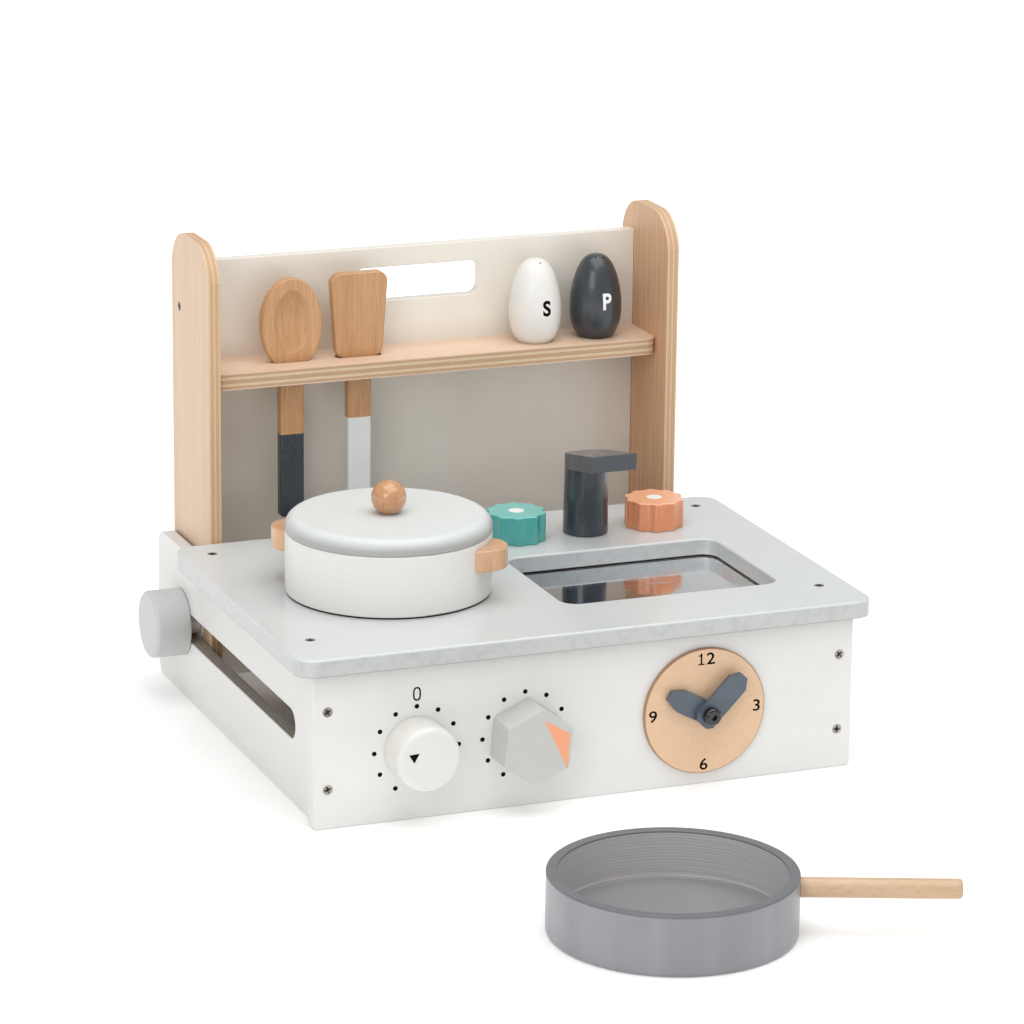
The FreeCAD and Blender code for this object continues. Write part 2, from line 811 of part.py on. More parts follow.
def clock_washers():
    bore = clock_bolt_radius + fastener_clearance
    washers = []
    for order in (0, 1, 2):
        start = front_face - clock_layer(order) - seat_clearance
        washers.append(ring(clock_washer_radius, bore, Vector(clock_x, start, clock_height), Y_AXIS * -1,
                            hand_spacing - 2 * seat_clearance))
    washers.append(ring(clock_washer_radius, bore, Vector(clock_x, front_back, clock_height), Y_AXIS,
                        washer_thickness))
    return group(washers)


def clock_bolt():
    cap_seat = front_face - clock_layer(2) - hand_spacing
    profile = [(0, 0), (clock_cap_radius, 0), (clock_cap_radius, clock_cap_length), (0, clock_cap_length)]
    cap = turned(profile, [0, 0, clock_cap_edge, 0], Vector(clock_x, cap_seat, clock_height), Y_AXIS * -1)
    corners = [(clock_x + u, clock_height + v) for u, v in hexagon(clock_socket_radius)]
    socket = plate("xz", corners, [0] * 6, cap_seat - clock_cap_length, clock_socket_depth)
    end = front_back + washer_thickness + nut_height + bolt_overrun
    shank = rod(clock_bolt_radius, Vector(clock_x, cap_seat, clock_height), Y_AXIS, end - cap_seat)
    return cap.cut(socket).fuse(shank).removeSplitter()


def export_clock():
    bore = clock_bolt_radius + fastener_clearance
    disc = turned([(0, 0), (clock_radius, 0), (clock_radius, clock_thickness), (0, clock_thickness)],
                  [0, 0, edge_radius, 0], Vector(clock_x, front_face, clock_height), Y_AXIS * -1)
    hole = rod(bore, Vector(clock_x, front_face, clock_height), Y_AXIS * -1, clock_thickness)
    nut = flange_nut(bore)
    nut.rotate(Vector(), X_AXIS, 90)
    export("clock_face", disc.cut(hole))
    export("hour_hand", clock_hand(hour_hand_shoulder, hour_hand_length, hour_hand_tip, hour_hand_angle, 0))
    export("minute_hand", clock_hand(minute_hand_shoulder, minute_hand_length, minute_hand_tip,
                                     minute_hand_angle, 1))
    export("clock_washers", clock_washers())
    export("clock_bolt", clock_bolt())
    export("clock_nut", moved(nut, Vector(clock_x, front_back + washer_thickness + nut_height, clock_height)))


# Pot, lid and pan

def pot_body():
    foot = worktop_top + pot_foot_thickness
    inner = pot_radius - pot_wall
    profile = [(0, foot), (pot_radius, foot), (pot_radius, pot_rim), (inner, pot_rim),
               (inner, foot + pot_floor), (0, foot + pot_floor)]
    return turned(profile, [0, edge_radius, edge_radius, edge_radius, 4 * edge_radius, 0],
                  Vector(pot_x, pot_y, 0), Z_AXIS)


def pot_handle(turn):
    top = pot_rim - pot_handle_below_rim
    centre = pot_radius - pot_handle_inset
    grip = rod(pot_handle_radius, Vector(centre, 0, top), Z_AXIS, -pot_handle_thickness)
    grip = grip.makeFillet(handle_edge_radius, [edge for edge in grip.Edges if edge.Length > 2 * pot_handle_radius])
    grip = grip.cut(rod(pot_radius + seat_clearance, Vector(), Z_AXIS, 2 * pot_rim))
    grip.rotate(Vector(), Z_AXIS, turn)
    return moved(grip, Vector(pot_x, pot_y, 0))


def lid():
    plug = pot_radius - pot_wall - 4 * seat_clearance
    low = pot_rim + seat_clearance
    profile = [(0, pot_rim - lid_plug_depth), (plug, pot_rim - lid_plug_depth), (plug, low), (pot_radius, low),
               (pot_radius, lid_top), (0, lid_top)]
    body = turned(profile, [0, edge_radius, 0, edge_radius, lid_edge_radius, 0], Vector(pot_x, pot_y, 0), Z_AXIS)
    hole = rod(lid_tenon_radius + fastener_clearance, Vector(pot_x, pot_y, lid_top), Z_AXIS,
               -lid_tenon_length - fastener_clearance)
    return body.cut(hole)


def lid_ball():
    centre = Vector(pot_x, pot_y, lid_top + lid_ball_radius - lid_ball_sink)
    ball = Part.makeSphere(lid_ball_radius, centre)
    reach = 2 * lid_ball_radius
    above = Part.makeBox(2 * reach, 2 * reach, 2 * reach, Vector(pot_x - reach, pot_y - reach, lid_top))
    tenon = rod(lid_tenon_radius, Vector(pot_x, pot_y, lid_top - lid_tenon_length), Z_AXIS,
                lid_tenon_length + lid_ball_radius)
    return ball.common(above).fuse(tenon).removeSplitter()


def pan_axis():
    turn = math.radians(pan_handle_angle)
    return Vector(math.cos(turn), math.sin(turn), 0)


def pan_body():
    inner = pan_radius - pan_wall
    profile = [(0, 0), (pan_radius, 0), (pan_radius, pan_height), (inner, pan_height), (inner, pan_floor),
               (0, pan_floor)]
    body = turned(profile, [0, pan_foot_radius, edge_radius, edge_radius, pan_foot_radius, 0],
                  Vector(pan_x, pan_y, 0), Z_AXIS)
    wall_middle = Vector(pan_x, pan_y, pan_handle_height) + pan_axis() * (pan_radius - pan_wall - 1)
    return body.cut(rod(pan_tenon_radius + fastener_clearance, wall_middle, pan_axis(), pan_wall + 2))


def pan_handle():
    # The round stick is hollowed to the pan's wall where it meets it, and its tenon fills the hole there.
    start = Vector(pan_x, pan_y, pan_handle_height)
    length = pan_radius + pan_handle_length
    profile = [(0, 0), (pan_handle_radius, 0), (pan_handle_radius, length), (0, length)]
    stick = turned(profile, [0, 0, pan_handle_end_radius, 0], start, pan_axis())
    stick = stick.cut(rod(pan_radius + seat_clearance, Vector(pan_x, pan_y, 0), Z_AXIS, 2 * pan_height))
    tenon_start = start + pan_axis() * (pan_radius - pan_wall + 1)
    tenon = rod(pan_tenon_radius, tenon_start, pan_axis(), pan_wall + pan_handle_radius)
    return stick.fuse(tenon).removeSplitter()


def export_cookware():
    foot = rod(pot_radius - pot_foot_inset, Vector(pot_x, pot_y, worktop_top), Z_AXIS, pot_foot_thickness)
    export("pot_body", pot_body())
    export("pot_foot", foot)
    export("pot_handles", group([pot_handle(pot_handle_angle), pot_handle(pot_handle_angle + 180)]))
    export("lid", lid())
    export("lid_ball", lid_ball())
    export("pan_body", pan_body())
    export("pan_handle", pan_handle())


# Spoon, spatula and shakers on the shelf

def spoon_half_width_at(height):
    share = (height - spoon_head_middle) / spoon_head_half_height
    return spoon_head_half_width * math.sqrt(max(0.0, 1 - share ** 2))


def spatula_half_width_at(height):
    # Width of the head where its rounded lower corner passes the given height.
    lean = (spatula_top_half_width - spatula_foot_half_width) / (spatula_head_top - spatula_head_foot)
    centre = spatula_foot_half_width + spatula_foot_radius * (lean - math.hypot(1, lean))
    drop = spatula_foot_radius - (height - spatula_head_foot)
    return centre + math.sqrt(spatula_foot_radius ** 2 - drop ** 2)


def oval(half_width, half_height, centre, axis_level, length):
    curve = Part.Ellipse(Vector(0, 0, 0), half_height, half_width)
    face = Part.Face(Part.Wire([curve.toShape()]))
    face.Placement = FreeCAD.Placement(Vector(centre[0], axis_level, centre[1]),
                                       FreeCAD.Rotation(Z_AXIS, X_AXIS, Y_AXIS, "ZXY"))
    return face.extrude(Y_AXIS * length)


def utensil_handle(x, top):
    front = shelf_middle - utensil_thickness / 2
    corners = rectangle(x - utensil_handle_width / 2, x + utensil_handle_width / 2, utensil_foot_height, top)
    return plate("xz", corners, [2.5, 2.5, 0, 0], front, utensil_thickness)


def rounded_rim(shape):
    front = shelf_middle - utensil_thickness / 2
    return eased(shape, "y", [front, front + utensil_thickness], utensil_edge_radius)


def spoon():
    front = shelf_middle - utensil_thickness / 2
    head = oval(spoon_head_half_width, spoon_head_half_height, (spoon_x, spoon_head_middle), front,
                utensil_thickness)
    body = head.fuse(utensil_handle(spoon_x, spoon_head_middle)).removeSplitter()
    body = rounded_rim(body)
    # The bowl is the cap of a stretched ball that dips into the head to the bowl's depth.
    ball = Part.makeSphere(1.0)
    depth = spoon_bowl_depth
    reach = 2.4 * depth
    share = math.sqrt(1 - ((reach - depth) / reach) ** 2)
    stretch = FreeCAD.Matrix()
    stretch.scale(spoon_bowl_half_width / share, reach, spoon_bowl_half_height / share)
    bowl = ball.transformGeometry(stretch)
    bowl.translate(Vector(spoon_x, front - reach + depth, spoon_head_middle + spoon_bowl_rise))
    return body.cut(bowl)


def spatula():
    front = shelf_middle - utensil_thickness / 2
    top = spatula_top_half_width
    foot = spatula_foot_half_width
    corners = [(spatula_x - foot, spatula_head_foot), (spatula_x + foot, spatula_head_foot),
               (spatula_x + top, spatula_head_top), (spatula_x - top, spatula_head_top)]
    radii = [spatula_foot_radius, spatula_foot_radius, spatula_top_radius, spatula_top_radius]
    head = plate("xz", corners, radii, front, utensil_thickness)
    middle = (spatula_head_foot + spatula_head_top) / 2
    return rounded_rim(head.fuse(utensil_handle(spatula_x, middle)).removeSplitter())


def shaker(x):
    # An egg, fuller towards its foot, that is cut flat at the foot.
    points = []
    full_height = shaker_height + shaker_foot_cut
    start = math.acos(1 - 2 * shaker_foot_cut / full_height)
    for step in range(shaker_profile_points + 1):
        turn = start + (math.pi - start) * step / shaker_profile_points
        radius = shaker_radius * math.sin(turn) * (1 + shaker_fullness * math.cos(turn))
        points.append(Vector(radius, 0, full_height * (1 - math.cos(turn)) / 2 - shaker_foot_cut))
    points[-1] = Vector(0, 0, shaker_height)
    curve = Part.BSplineCurve()
    curve.interpolate(points)
    foot = Vector(points[0].x, 0, 0)
    edges = [Part.LineSegment(Vector(), foot).toShape(), curve.toShape(),
             Part.LineSegment(points[-1], Vector()).toShape()]
    body = Part.Face(Part.Wire(edges)).revolve(Vector(), Z_AXIS, 360)
    return moved(body, Vector(x, shelf_middle, shelf_top))


def export_shelf_things():
    export("spoon", spoon())
    export("spatula", spatula())
    export("salt_shaker", shaker(salt_x))
    export("pepper_shaker", shaker(pepper_x))


os.makedirs("parts", exist_ok=True)
export_cabinet()
export_back_frame()
export_lock_knobs()
export_tap()
export_tap_knobs()
export_dials()
export_clock()
export_cookware()
export_shelf_things()
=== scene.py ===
import math

import bmesh
import bpy
from mathutils import Matrix, Vector


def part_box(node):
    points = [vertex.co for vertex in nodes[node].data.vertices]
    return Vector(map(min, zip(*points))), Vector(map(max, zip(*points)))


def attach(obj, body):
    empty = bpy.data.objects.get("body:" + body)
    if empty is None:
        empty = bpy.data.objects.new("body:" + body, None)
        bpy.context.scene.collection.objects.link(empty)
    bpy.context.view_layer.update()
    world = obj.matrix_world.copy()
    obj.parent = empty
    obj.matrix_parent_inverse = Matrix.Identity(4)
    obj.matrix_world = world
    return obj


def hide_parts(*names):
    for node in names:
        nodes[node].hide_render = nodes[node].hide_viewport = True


# Toy kitchen: paint, wood, print and screws around the CAD frame. Metres, +X right, +Y back, +Z up.
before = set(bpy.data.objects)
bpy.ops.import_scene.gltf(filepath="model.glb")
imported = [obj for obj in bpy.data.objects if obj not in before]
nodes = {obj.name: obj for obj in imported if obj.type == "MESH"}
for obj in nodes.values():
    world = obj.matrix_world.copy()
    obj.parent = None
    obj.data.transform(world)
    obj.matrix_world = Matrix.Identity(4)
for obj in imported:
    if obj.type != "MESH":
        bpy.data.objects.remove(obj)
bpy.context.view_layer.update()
print("frame loaded:", len(nodes), "nodes")


def fromScreen(red, green, blue, gain=1.0):
    # a colour as a screen shows it, 0 to 255, made linear
    values = []
    for part in (red, green, blue):
        part = part / 255
        part = part / 12.92 if part <= 0.04045 else ((part + 0.055) / 1.055) ** 2.4
        values.append(min(1.0, part * gain))
    return (*values, 1.0)


class Wire:  # one socket of a material's nodes, with arithmetic
    def __init__(self, tree, socket=None):
        self.tree = tree
        self.socket = socket

    def add(self, kind, settings=None, inputs=None, out=0):
        made = self.tree.nodes.new(kind)
        for name, value in (settings or {}).items():
            if name == "stops":
                ramp = made.color_ramp
                while len(ramp.elements) < len(value):
                    ramp.elements.new(0.5)
                for element, (position, colour) in zip(ramp.elements, value):
                    element.position = position
                    element.color = colour
            else:
                setattr(made, name, value)
        for key, value in (inputs or {}).items():
            if isinstance(value, Wire):
                self.tree.links.new(value.socket, made.inputs[key])
            else:
                made.inputs[key].default_value = value
        return Wire(self.tree, made.outputs[out])

    def maths(self, operation, *values):
        return self.add("ShaderNodeMath", {"operation": operation}, dict(enumerate(values)))

    def __add__(self, other):
        return self.maths("ADD", self, other)

    def __radd__(self, other):
        return self.maths("ADD", other, self)

    def __sub__(self, other):
        return self.maths("SUBTRACT", self, other)

    def __rsub__(self, other):
        return self.maths("SUBTRACT", other, self)

    def __mul__(self, other):
        return self.maths("MULTIPLY", self, other)

    def __rmul__(self, other):
        return self.maths("MULTIPLY", other, self)

    def __truediv__(self, other):
        return self.maths("DIVIDE", self, other)

    def __gt__(self, other):
        return self.maths("GREATER_THAN", self, other)

    def __lt__(self, other):
        return self.maths("LESS_THAN", self, other)

    def __abs__(self):
        return self.maths("ABSOLUTE", self)


def axisOf(place, index):
    return place.add("ShaderNodeSeparateXYZ", inputs={0: place}, out=index)


def scaled(place, factors, offset=(0, 0, 0)):
    return place.add("ShaderNodeVectorMath", {"operation": "MULTIPLY_ADD"}, {0: place, 1: factors, 2: offset})


def noise(place, scale, detail=2.0, rough=0.5, warp=0.0):
    return place.add("ShaderNodeTexNoise",
                     inputs={"Vector": place, "Scale": scale, "Detail": detail, "Roughness": rough, "Distortion": warp})


def mixed(factor, first, second):
    return factor.add("ShaderNodeMix", {"data_type": "RGBA"}, {0: factor, 6: first, 7: second}, out=2)


def remapped(value, low, high, toLow=0.0, toHigh=1.0):
    # straight line between two values, held at its ends
    return value.add("ShaderNodeMapRange", {"clamp": True},
                     {"Value": value, "From Min": low, "From Max": high, "To Min": toLow, "To Max": toHigh})


def bumped(height, strength, distance):
    return height.add("ShaderNodeBump", inputs={"Height": height, "Strength": strength, "Distance": distance})


def material(name, recipe, look, **fixed):
    made = bpy.data.materials.new(name)
    made.use_nodes = True
    shader = made.node_tree.nodes["Principled BSDF"]
    start = Wire(made.node_tree)
    place = start.add("ShaderNodeTexCoord", out=3)
    for socket, wire in recipe(place, look).items():
        made.node_tree.links.new(wire.socket, shader.inputs[socket])
    for socket, value in fixed.items():
        shader.inputs[socket.replace("_", " ")].default_value = value
    return made


# Finishes

def painted(place, look):
    # sprayed paint on board or turned wood: soft clouds, fine orange peel, and the wood's grain just showing
    clouds = noise(place, look["cloudScale"], 3)
    peel = noise(place, 1100, 2)
    grain = noise(scaled(place, look["grain"]), 1, 4, 0.6)
    tone = remapped(clouds, 0.3, 0.7) * 0.6 + remapped(grain, 0.35, 0.65) * 0.4
    colour = mixed(tone, look["shade"], look["colour"])
    rough = look["rough"] + (clouds - 0.5) * 0.12 + (grain - 0.5) * 0.08
    return {"Base Color": colour, "Roughness": rough,
            "Normal": bumped(peel * 0.5 + grain * look["grainRelief"], look["relief"], 0.0002)}


def woodParts(place, look):
    # long streaks, fine pores and short flecks, all drawn out along the grain
    across, along = look["across"], look["along"]
    stretch = [along if index == look["grainAxis"] else across for index in range(3)]
    drawn = scaled(place, stretch)
    broad = noise(drawn, 0.035, 2, 0.5, 0.6)
    streaks = noise(drawn, 0.35, 5, 0.62, 0.4)
    pores = noise(drawn, 2.2, 3, 0.6)
    flecks = remapped(noise(scaled(place, [value * look["fleckScale"] for value in stretch], (3, 7, 1)), 1, 1),
                      0.63, 0.7)
    return broad, streaks, pores, flecks


def woodColour(place, look):
    broad, streaks, pores, flecks = woodParts(place, look)
    tone = remapped(broad, 0.3, 0.7) * 0.45 + remapped(streaks, 0.3, 0.7) * 0.55
    colour = mixed(tone, look["dark"], look["light"])
    colour = mixed(remapped(pores, 0.55, 0.75) * look["poreDepth"], colour, look["pore"])
    colour = mixed(flecks * look["fleckDepth"], colour, look["fleck"])
    relief = streaks * 0.5 + pores * 0.5
    return colour, relief, streaks


def wood(place, look):
    colour, relief, streaks = woodColour(place, look)
    return {"Base Color": colour, "Roughness": look["rough"] + (streaks - 0.5) * 0.18,
            "Normal": bumped(relief, look["relief"], 0.0002)}


def plyTone(place, across, look):
    # the layers of a sheet seen at its edge: every other one is end grain, with a thin glue line between
    layer = (across / look["thickness"] + 0.5) * look["plies"] + (noise(place, 60, 2) - 0.5) * 0.25
    within = layer.maths("FRACT", layer)
    odd = (layer.maths("FLOORED_MODULO", layer, 2.0)) > 1.0
    glue = (within < look["glue"])
    fibres = noise(place, 1500, 2)
    tone = mixed(odd, look["longGrain"], look["endGrain"])
    tone = mixed(remapped(fibres, 0.35, 0.7) * 0.35, tone, look["glueColour"])
    return mixed(glue * 0.75, tone, look["glueColour"]), fibres


def plywood(place, look):
    # clear birch ply: face veneer on both sides, layers round the edge
    across = axisOf(place, look["sheetAxis"])
    if look["mirrored"]:
        across = abs(across)
    across = across - look["middle"]
    colour, relief, streaks = woodColour(place, look)
    if look["innerSide"]:  # the sides that face each other are painted browner and darker as painted shade
        inner = mixed(remapped(streaks, 0.32, 0.68), look["innerDark"], look["inner"])
        colour = mixed((abs(axisOf(place, 0)) < look["innerSide"]) * 0.8, colour, inner)
    edge, fibres = plyTone(place, across, look)
    onEdge = abs(across) < (look["thickness"] / 2 - look["veneer"])
    return {"Base Color": mixed(onEdge, colour, edge), "Roughness": look["rough"] + (streaks - 0.5) * 0.15 + onEdge * 0.12,
            "Normal": bumped(relief + fibres * onEdge, look["relief"], 0.0002)}


beechLook = {"grainAxis": 2, "across": 1500, "along": 60, "fleckScale": 0.8, "fleckDepth": 0.35, "poreDepth": 0.5,
             "light": fromScreen(204, 160, 115), "dark": fromScreen(174, 127, 84), "pore": fromScreen(142, 96, 58),
             "fleck": fromScreen(150, 98, 58), "rough": 0.3, "relief": 0.25}
birchLook = {"grainAxis": 2, "across": 1100, "along": 26, "fleckScale": 0.4, "fleckDepth": 0.2, "poreDepth": 0.35,
             "light": fromScreen(220, 193, 166), "dark": fromScreen(203, 170, 138), "pore": fromScreen(178, 138, 102),
             "fleck": fromScreen(190, 145, 105), "rough": 0.42, "relief": 0.2,
             # the two colours for the facing sides are painted shade
             "inner": fromScreen(222, 176, 134), "innerDark": fromScreen(192, 142, 101), "innerSide": 0.1765,
             "sheetAxis": 0, "mirrored": True, "middle": 0.1765, "thickness": 0.009, "plies": 5, "veneer": 0.0003,
             "glue": 0.13, "longGrain": fromScreen(214, 186, 152), "endGrain": fromScreen(200, 164, 127),
             "glueColour": fromScreen(156, 116, 80)}
shelfLook = dict(birchLook, grainAxis=0, sheetAxis=2, mirrored=False, middle=0.2352, thickness=0.012, plies=5,
                 light=fromScreen(228, 203, 180), dark=fromScreen(212, 182, 156), veneer=0.0007, innerSide=None,
                 longGrain=fromScreen(190, 156, 126), endGrain=fromScreen(215, 194, 160), glue=0.1)


def paintLook(colour, shade, rough, cloudScale=16.0, grain=(60, 60, 60), relief=0.12, grainRelief=0.2):
    return {"colour": colour, "shade": shade, "rough": rough, "cloudScale": cloudScale, "grain": grain,
            "relief": relief, "grainRelief": grainRelief}


# the dark brown inside colours are partly raw board and partly painted shade of the closed cabinet
whiteLook = dict(paintLook(fromScreen(227, 227, 225), fromScreen(223, 222, 219), 0.42, relief=0.07),
                 rawBoard=fromScreen(86, 66, 48), rawLight=fromScreen(106, 84, 63), insideX=0.18275, insideY=0.00575,
                 sheetAxis=0, mirrored=True, middle=0.1875, thickness=0.010, plies=7, glue=0.2,
                 longGrain=fromScreen(180, 174, 164), endGrain=fromScreen(164, 156, 146),
                 glueColour=fromScreen(130, 120, 108),
                 slotLow=(0.0, 0.046, 0.0445), slotHigh=(0.0, 0.311, 0.0665))


def cabinetWhite(place, look):
    # white paint outside; inside, raw board painted dark brown, partly the board's own colour and partly painted shade
    # of the closed cabinet; and bare layers where the side slots were cut
    made = painted(place, look)
    x, y, z = (axisOf(place, index) for index in range(3))
    across = abs(x) - look["middle"]
    layers, fibres = plyTone(place, across, look)
    inSlot = (y > look["slotLow"][1]) * (y < look["slotHigh"][1]) * (z > look["slotLow"][2]) * (z < look["slotHigh"][2])
    inSlot = inSlot * (abs(across) < 0.0042)
    inside = (y > look["insideY"]) * (abs(x) < look["insideX"])
    # inside faces: raw board darkened as painted shade
    boardAndShade = mixed(remapped(noise(place, 700, 3), 0.3, 0.7), look["rawBoard"], look["rawLight"])
    colour = mixed(inSlot, mixed(inside, made["Base Color"], boardAndShade), layers)
    return dict(made, **{"Base Color": colour, "Roughness": made["Roughness"] + (inSlot + inside) * 0.25})


def worktopGrey(place, look):
    # light grey paint; the cut edge darker and blotchy, partly the edge's own blotchy paint and partly painted shade;
    # underneath, raw board darkened partly as painted shade
    made = painted(place, look)
    z = axisOf(place, 2)
    blotch = remapped(noise(place, 180, 3, 0.6), 0.45, 0.75)
    edge = (z < look["edgeTop"])
    under = (z < look["under"])
    colour = mixed(edge * (0.45 + blotch * 0.35), made["Base Color"], look["edgeShade"])
    # underside: the same raw board darkened as painted shade
    boardAndShade = mixed(remapped(noise(place, 700, 3), 0.3, 0.7), fromScreen(86, 66, 48), fromScreen(106, 84, 63))
    return dict(made, **{"Base Color": mixed(under, colour, boardAndShade)})


def lidGrey(place, look):
    # light grey paint, greyer down the turned edge as painted shade
    made = painted(place, look)
    flankShade = remapped(axisOf(place, 2), look["edgeLow"], look["edgeHigh"], 0.85, 0.0)
    return dict(made, **{"Base Color": mixed(flankShade, made["Base Color"], look["edgeShade"])})


# the edge colour on the worktop and on the lid is painted shade on their side-facing edges
worktopLook = dict(paintLook(fromScreen(206, 209, 209), fromScreen(201, 204, 204), 0.38, 9.0),
                   edgeShade=fromScreen(168, 170, 170), edgeTop=0.1206, under=0.1102)
lidLook = dict(paintLook(fromScreen(214, 218, 217), fromScreen(210, 214, 213), 0.42, 30.0, (160, 160, 160), 0.02),
               edgeShade=fromScreen(152, 152, 150), edgeLow=0.1695, edgeHigh=0.1767)
hexLook = paintLook(fromScreen(196, 197, 193), fromScreen(189, 190, 186), 0.4, 30.0, (160, 160, 160))
lockLook = paintLook(fromScreen(197, 198, 198), fromScreen(191, 192, 192), 0.36, 30.0, (160, 160, 160), 0.05)
whiteWoodLook = paintLook(fromScreen(225, 224, 219), fromScreen(220, 218, 212), 0.4, 24.0, (140, 140, 500), 0.08)
slateLook = paintLook(fromScreen(58, 65, 72), fromScreen(52, 59, 66), 0.28, 40.0, (180, 180, 60), 0.08)
pepperLook = paintLook(fromScreen(50, 55, 61), fromScreen(46, 51, 57), 0.34, 24.0, (120, 120, 60), 0.03)
# each knob's top colour is a painted sheen on its top face
tealLook = dict(paintLook(fromScreen(72, 174, 168), fromScreen(64, 163, 157), 0.34, 50.0, (180, 180, 60), 0.1),
                top=fromScreen(104, 198, 192), topLevel=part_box("teal_knob")[1][2])
salmonLook = dict(paintLook(fromScreen(226, 144, 98), fromScreen(219, 135, 90), 0.34, 50.0, (180, 180, 60), 0.1),
                  top=fromScreen(248, 180, 141), topLevel=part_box("salmon_knob")[1][2])
handLook = paintLook(fromScreen(89, 99, 110), fromScreen(78, 88, 98), 0.34, 50.0, (120, 120, 120), 0.1)
panelLook = paintLook(fromScreen(230, 226, 217), fromScreen(224, 218, 207), 0.36, 6.0, (40, 40, 12), 0.06)


def knobPaint(place, look):
    # bright paint, its top face painted lighter as a painted sheen
    made = painted(place, look)
    paintedSheen = remapped(axisOf(place, 2), look["topLevel"] - 0.0012, look["topLevel"] - 0.0002)
    return dict(made, **{"Base Color": mixed(paintedSheen, made["Base Color"], look["top"])})


def panGrey(place, look):
    # turned and painted: faint tool rings inside and out, a darker rim, and the wall inside painted much lighter as
    # painted light
    made = painted(place, look)
    z = axisOf(place, 2)
    centred = scaled(place, (1, 1, 0), look["centre"])
    radius = centred.add("ShaderNodeVectorMath", {"operation": "LENGTH"}, {0: centred}, out=1)
    inside = (radius < look["innerRadius"])
    wall = (radius + z * 1.7) * (900 + inside * 900) + noise(place, 30, 2) * 5
    rings = remapped(wall.maths("SINE", wall), -1, 1)
    turning = noise(scaled(place, (12, 12, 2600)), 1, 3, 0.6)
    rim = (z > look["rimHeight"]) * (1 - inside * (radius < look["innerRadius"] - 0.0012))
    colour = mixed(inside, made["Base Color"], look["insideColour"])
    # the wall inside, above the pan's floor, takes a much lighter colour: painted light
    colour = mixed(inside * (z > look["floorLevel"]), colour, look["wallColour"])
    colour = mixed(remapped(turning, 0.3, 0.7) * 0.35 + rings * inside * 0.2, colour, look["ringShade"])
    streak = remapped(noise(scaled(place, (34, 34, 2)), 1, 2), 0.4, 0.65)
    colour = mixed(streak * 0.5 * (1 - inside), colour, look["lightShade"])
    chips = remapped(noise(place, 420, 2), 0.72, 0.78)
    colour = mixed(chips * 0.5, colour, look["rimShade"])
    colour = mixed(rim * 0.85, colour, look["rimShade"])
    return dict(made, **{"Base Color": colour, "Roughness": made["Roughness"] + rim * 0.1,
                         "Normal": bumped(turning * 0.5 + rings * inside * 0.25, 0.2, 0.0003)})


panLook = dict(paintLook(fromScreen(141, 142, 146), fromScreen(132, 133, 137), 0.32, 20.0, (60, 60, 900), 0.2),
               centre=(0.0445, 0.253, 0.0), innerRadius=0.0734, rimHeight=0.0385,
               # the colour of the wall inside the pan is painted light, far lighter than its paint
               floorLevel=0.0095, insideColour=fromScreen(142, 139, 141), wallColour=fromScreen(200, 197, 198),
               ringShade=fromScreen(124, 123, 127),
               rimShade=fromScreen(98, 99, 103), lightShade=fromScreen(156, 157, 162))


def clockBirch(place, look):
    # a thin birch disc whose cut edge is painted darker brown, partly its end grain and partly painted shade of the
    # side face
    made = wood(place, look)
    centred = scaled(place, (1, 0, 1), look["centre"])
    radius = centred.add("ShaderNodeVectorMath", {"operation": "LENGTH"}, {0: centred}, out=1)
    return dict(made, **{"Base Color": mixed((radius > look["cutRadius"]) * 0.7, made["Base Color"], look["cut"])})


def roundStick(place, look):
    # a turned stick whose outer end is darker end grain
    made = wood(place, look)
    end = (axisOf(place, 0) > look["endX"])
    return dict(made, **{"Base Color": mixed(end * 0.7, made["Base Color"], look["endShade"])})


def dippedHandle(place, look):
    # beech with its lower end dipped in paint
    bare = wood(place, look)
    coat = painted(place, look["coat"])
    line = axisOf(place, 2) + (noise(place, 220, 2) - 0.5) * 0.0006
    dipped = (line < look["paintTop"])
    rough = bare["Roughness"] * (1 - dipped) + coat["Roughness"] * dipped
    step = remapped(line, look["paintTop"] - 0.0004, look["paintTop"], 1.0, 0.0)
    relief = step * 2.0 + noise(scaled(place, (900, 900, 60)), 1, 4) * 0.5
    return {"Base Color": mixed(dipped, bare["Base Color"], coat["Base Color"]), "Roughness": rough,
            "Normal": bumped(relief, 0.25, 0.0002)}


spoonLook = dict(beechLook, paintTop=0.1873, coat=slateLook)
spatulaLook = dict(beechLook, paintTop=0.1956,
                   coat=paintLook(fromScreen(226, 227, 227), fromScreen(218, 219, 219), 0.4, 40.0))


def metal(place, look):
    # turned or rolled metal with fine marks along one way
    marks = noise(scaled(place, look["marks"]), 1, 3, 0.6)
    smears = noise(place, look["smearScale"], 3, 0.6, 0.5)
    colour = mixed(remapped(smears, 0.35, 0.7), look["shade"], look["colour"])
    rough = look["rough"] + (marks - 0.5) * look["roughSpread"] + remapped(smears, 0.5, 0.8) * look["smearRough"]
    return {"Base Color": colour, "Roughness": rough, "Normal": bumped(marks, look["relief"], 0.0001)}


steelLook = {"marks": (900, 900, 900), "smearScale": 60, "colour": fromScreen(205, 205, 205), "rough": 0.3,
             "shade": fromScreen(186, 186, 188), "roughSpread": 0.2, "smearRough": 0.05, "relief": 0.1}
# painted reflection: the sheet's colours run from darker at the left to bright at the right
mirrorLook = {"colour": fromScreen(176, 184, 192), "bright": fromScreen(250, 251, 252), "shade": fromScreen(222, 228, 232),
              "rough": 0.04, "hazeRough": 0.3,
              "clearX": 0.0, "hazyX": 0.165}
blackLook = {"marks": (1200, 1200, 1200), "smearScale": 80, "colour": fromScreen(18, 18, 20), "rough": 0.2,
             "shade": fromScreen(12, 12, 14), "roughSpread": 0.15, "smearRough": 0.1, "relief": 0.1}


def screwHead(place, look):
    # a worn steel head whose recess is painted dark as painted shade
    made = metal(place, look)
    sunk = (axisOf(place, look["axis"]) * look["outward"] < look["level"])
    return dict(made, **{"Base Color": mixed(sunk * 0.85, made["Base Color"], look["sunk"])})


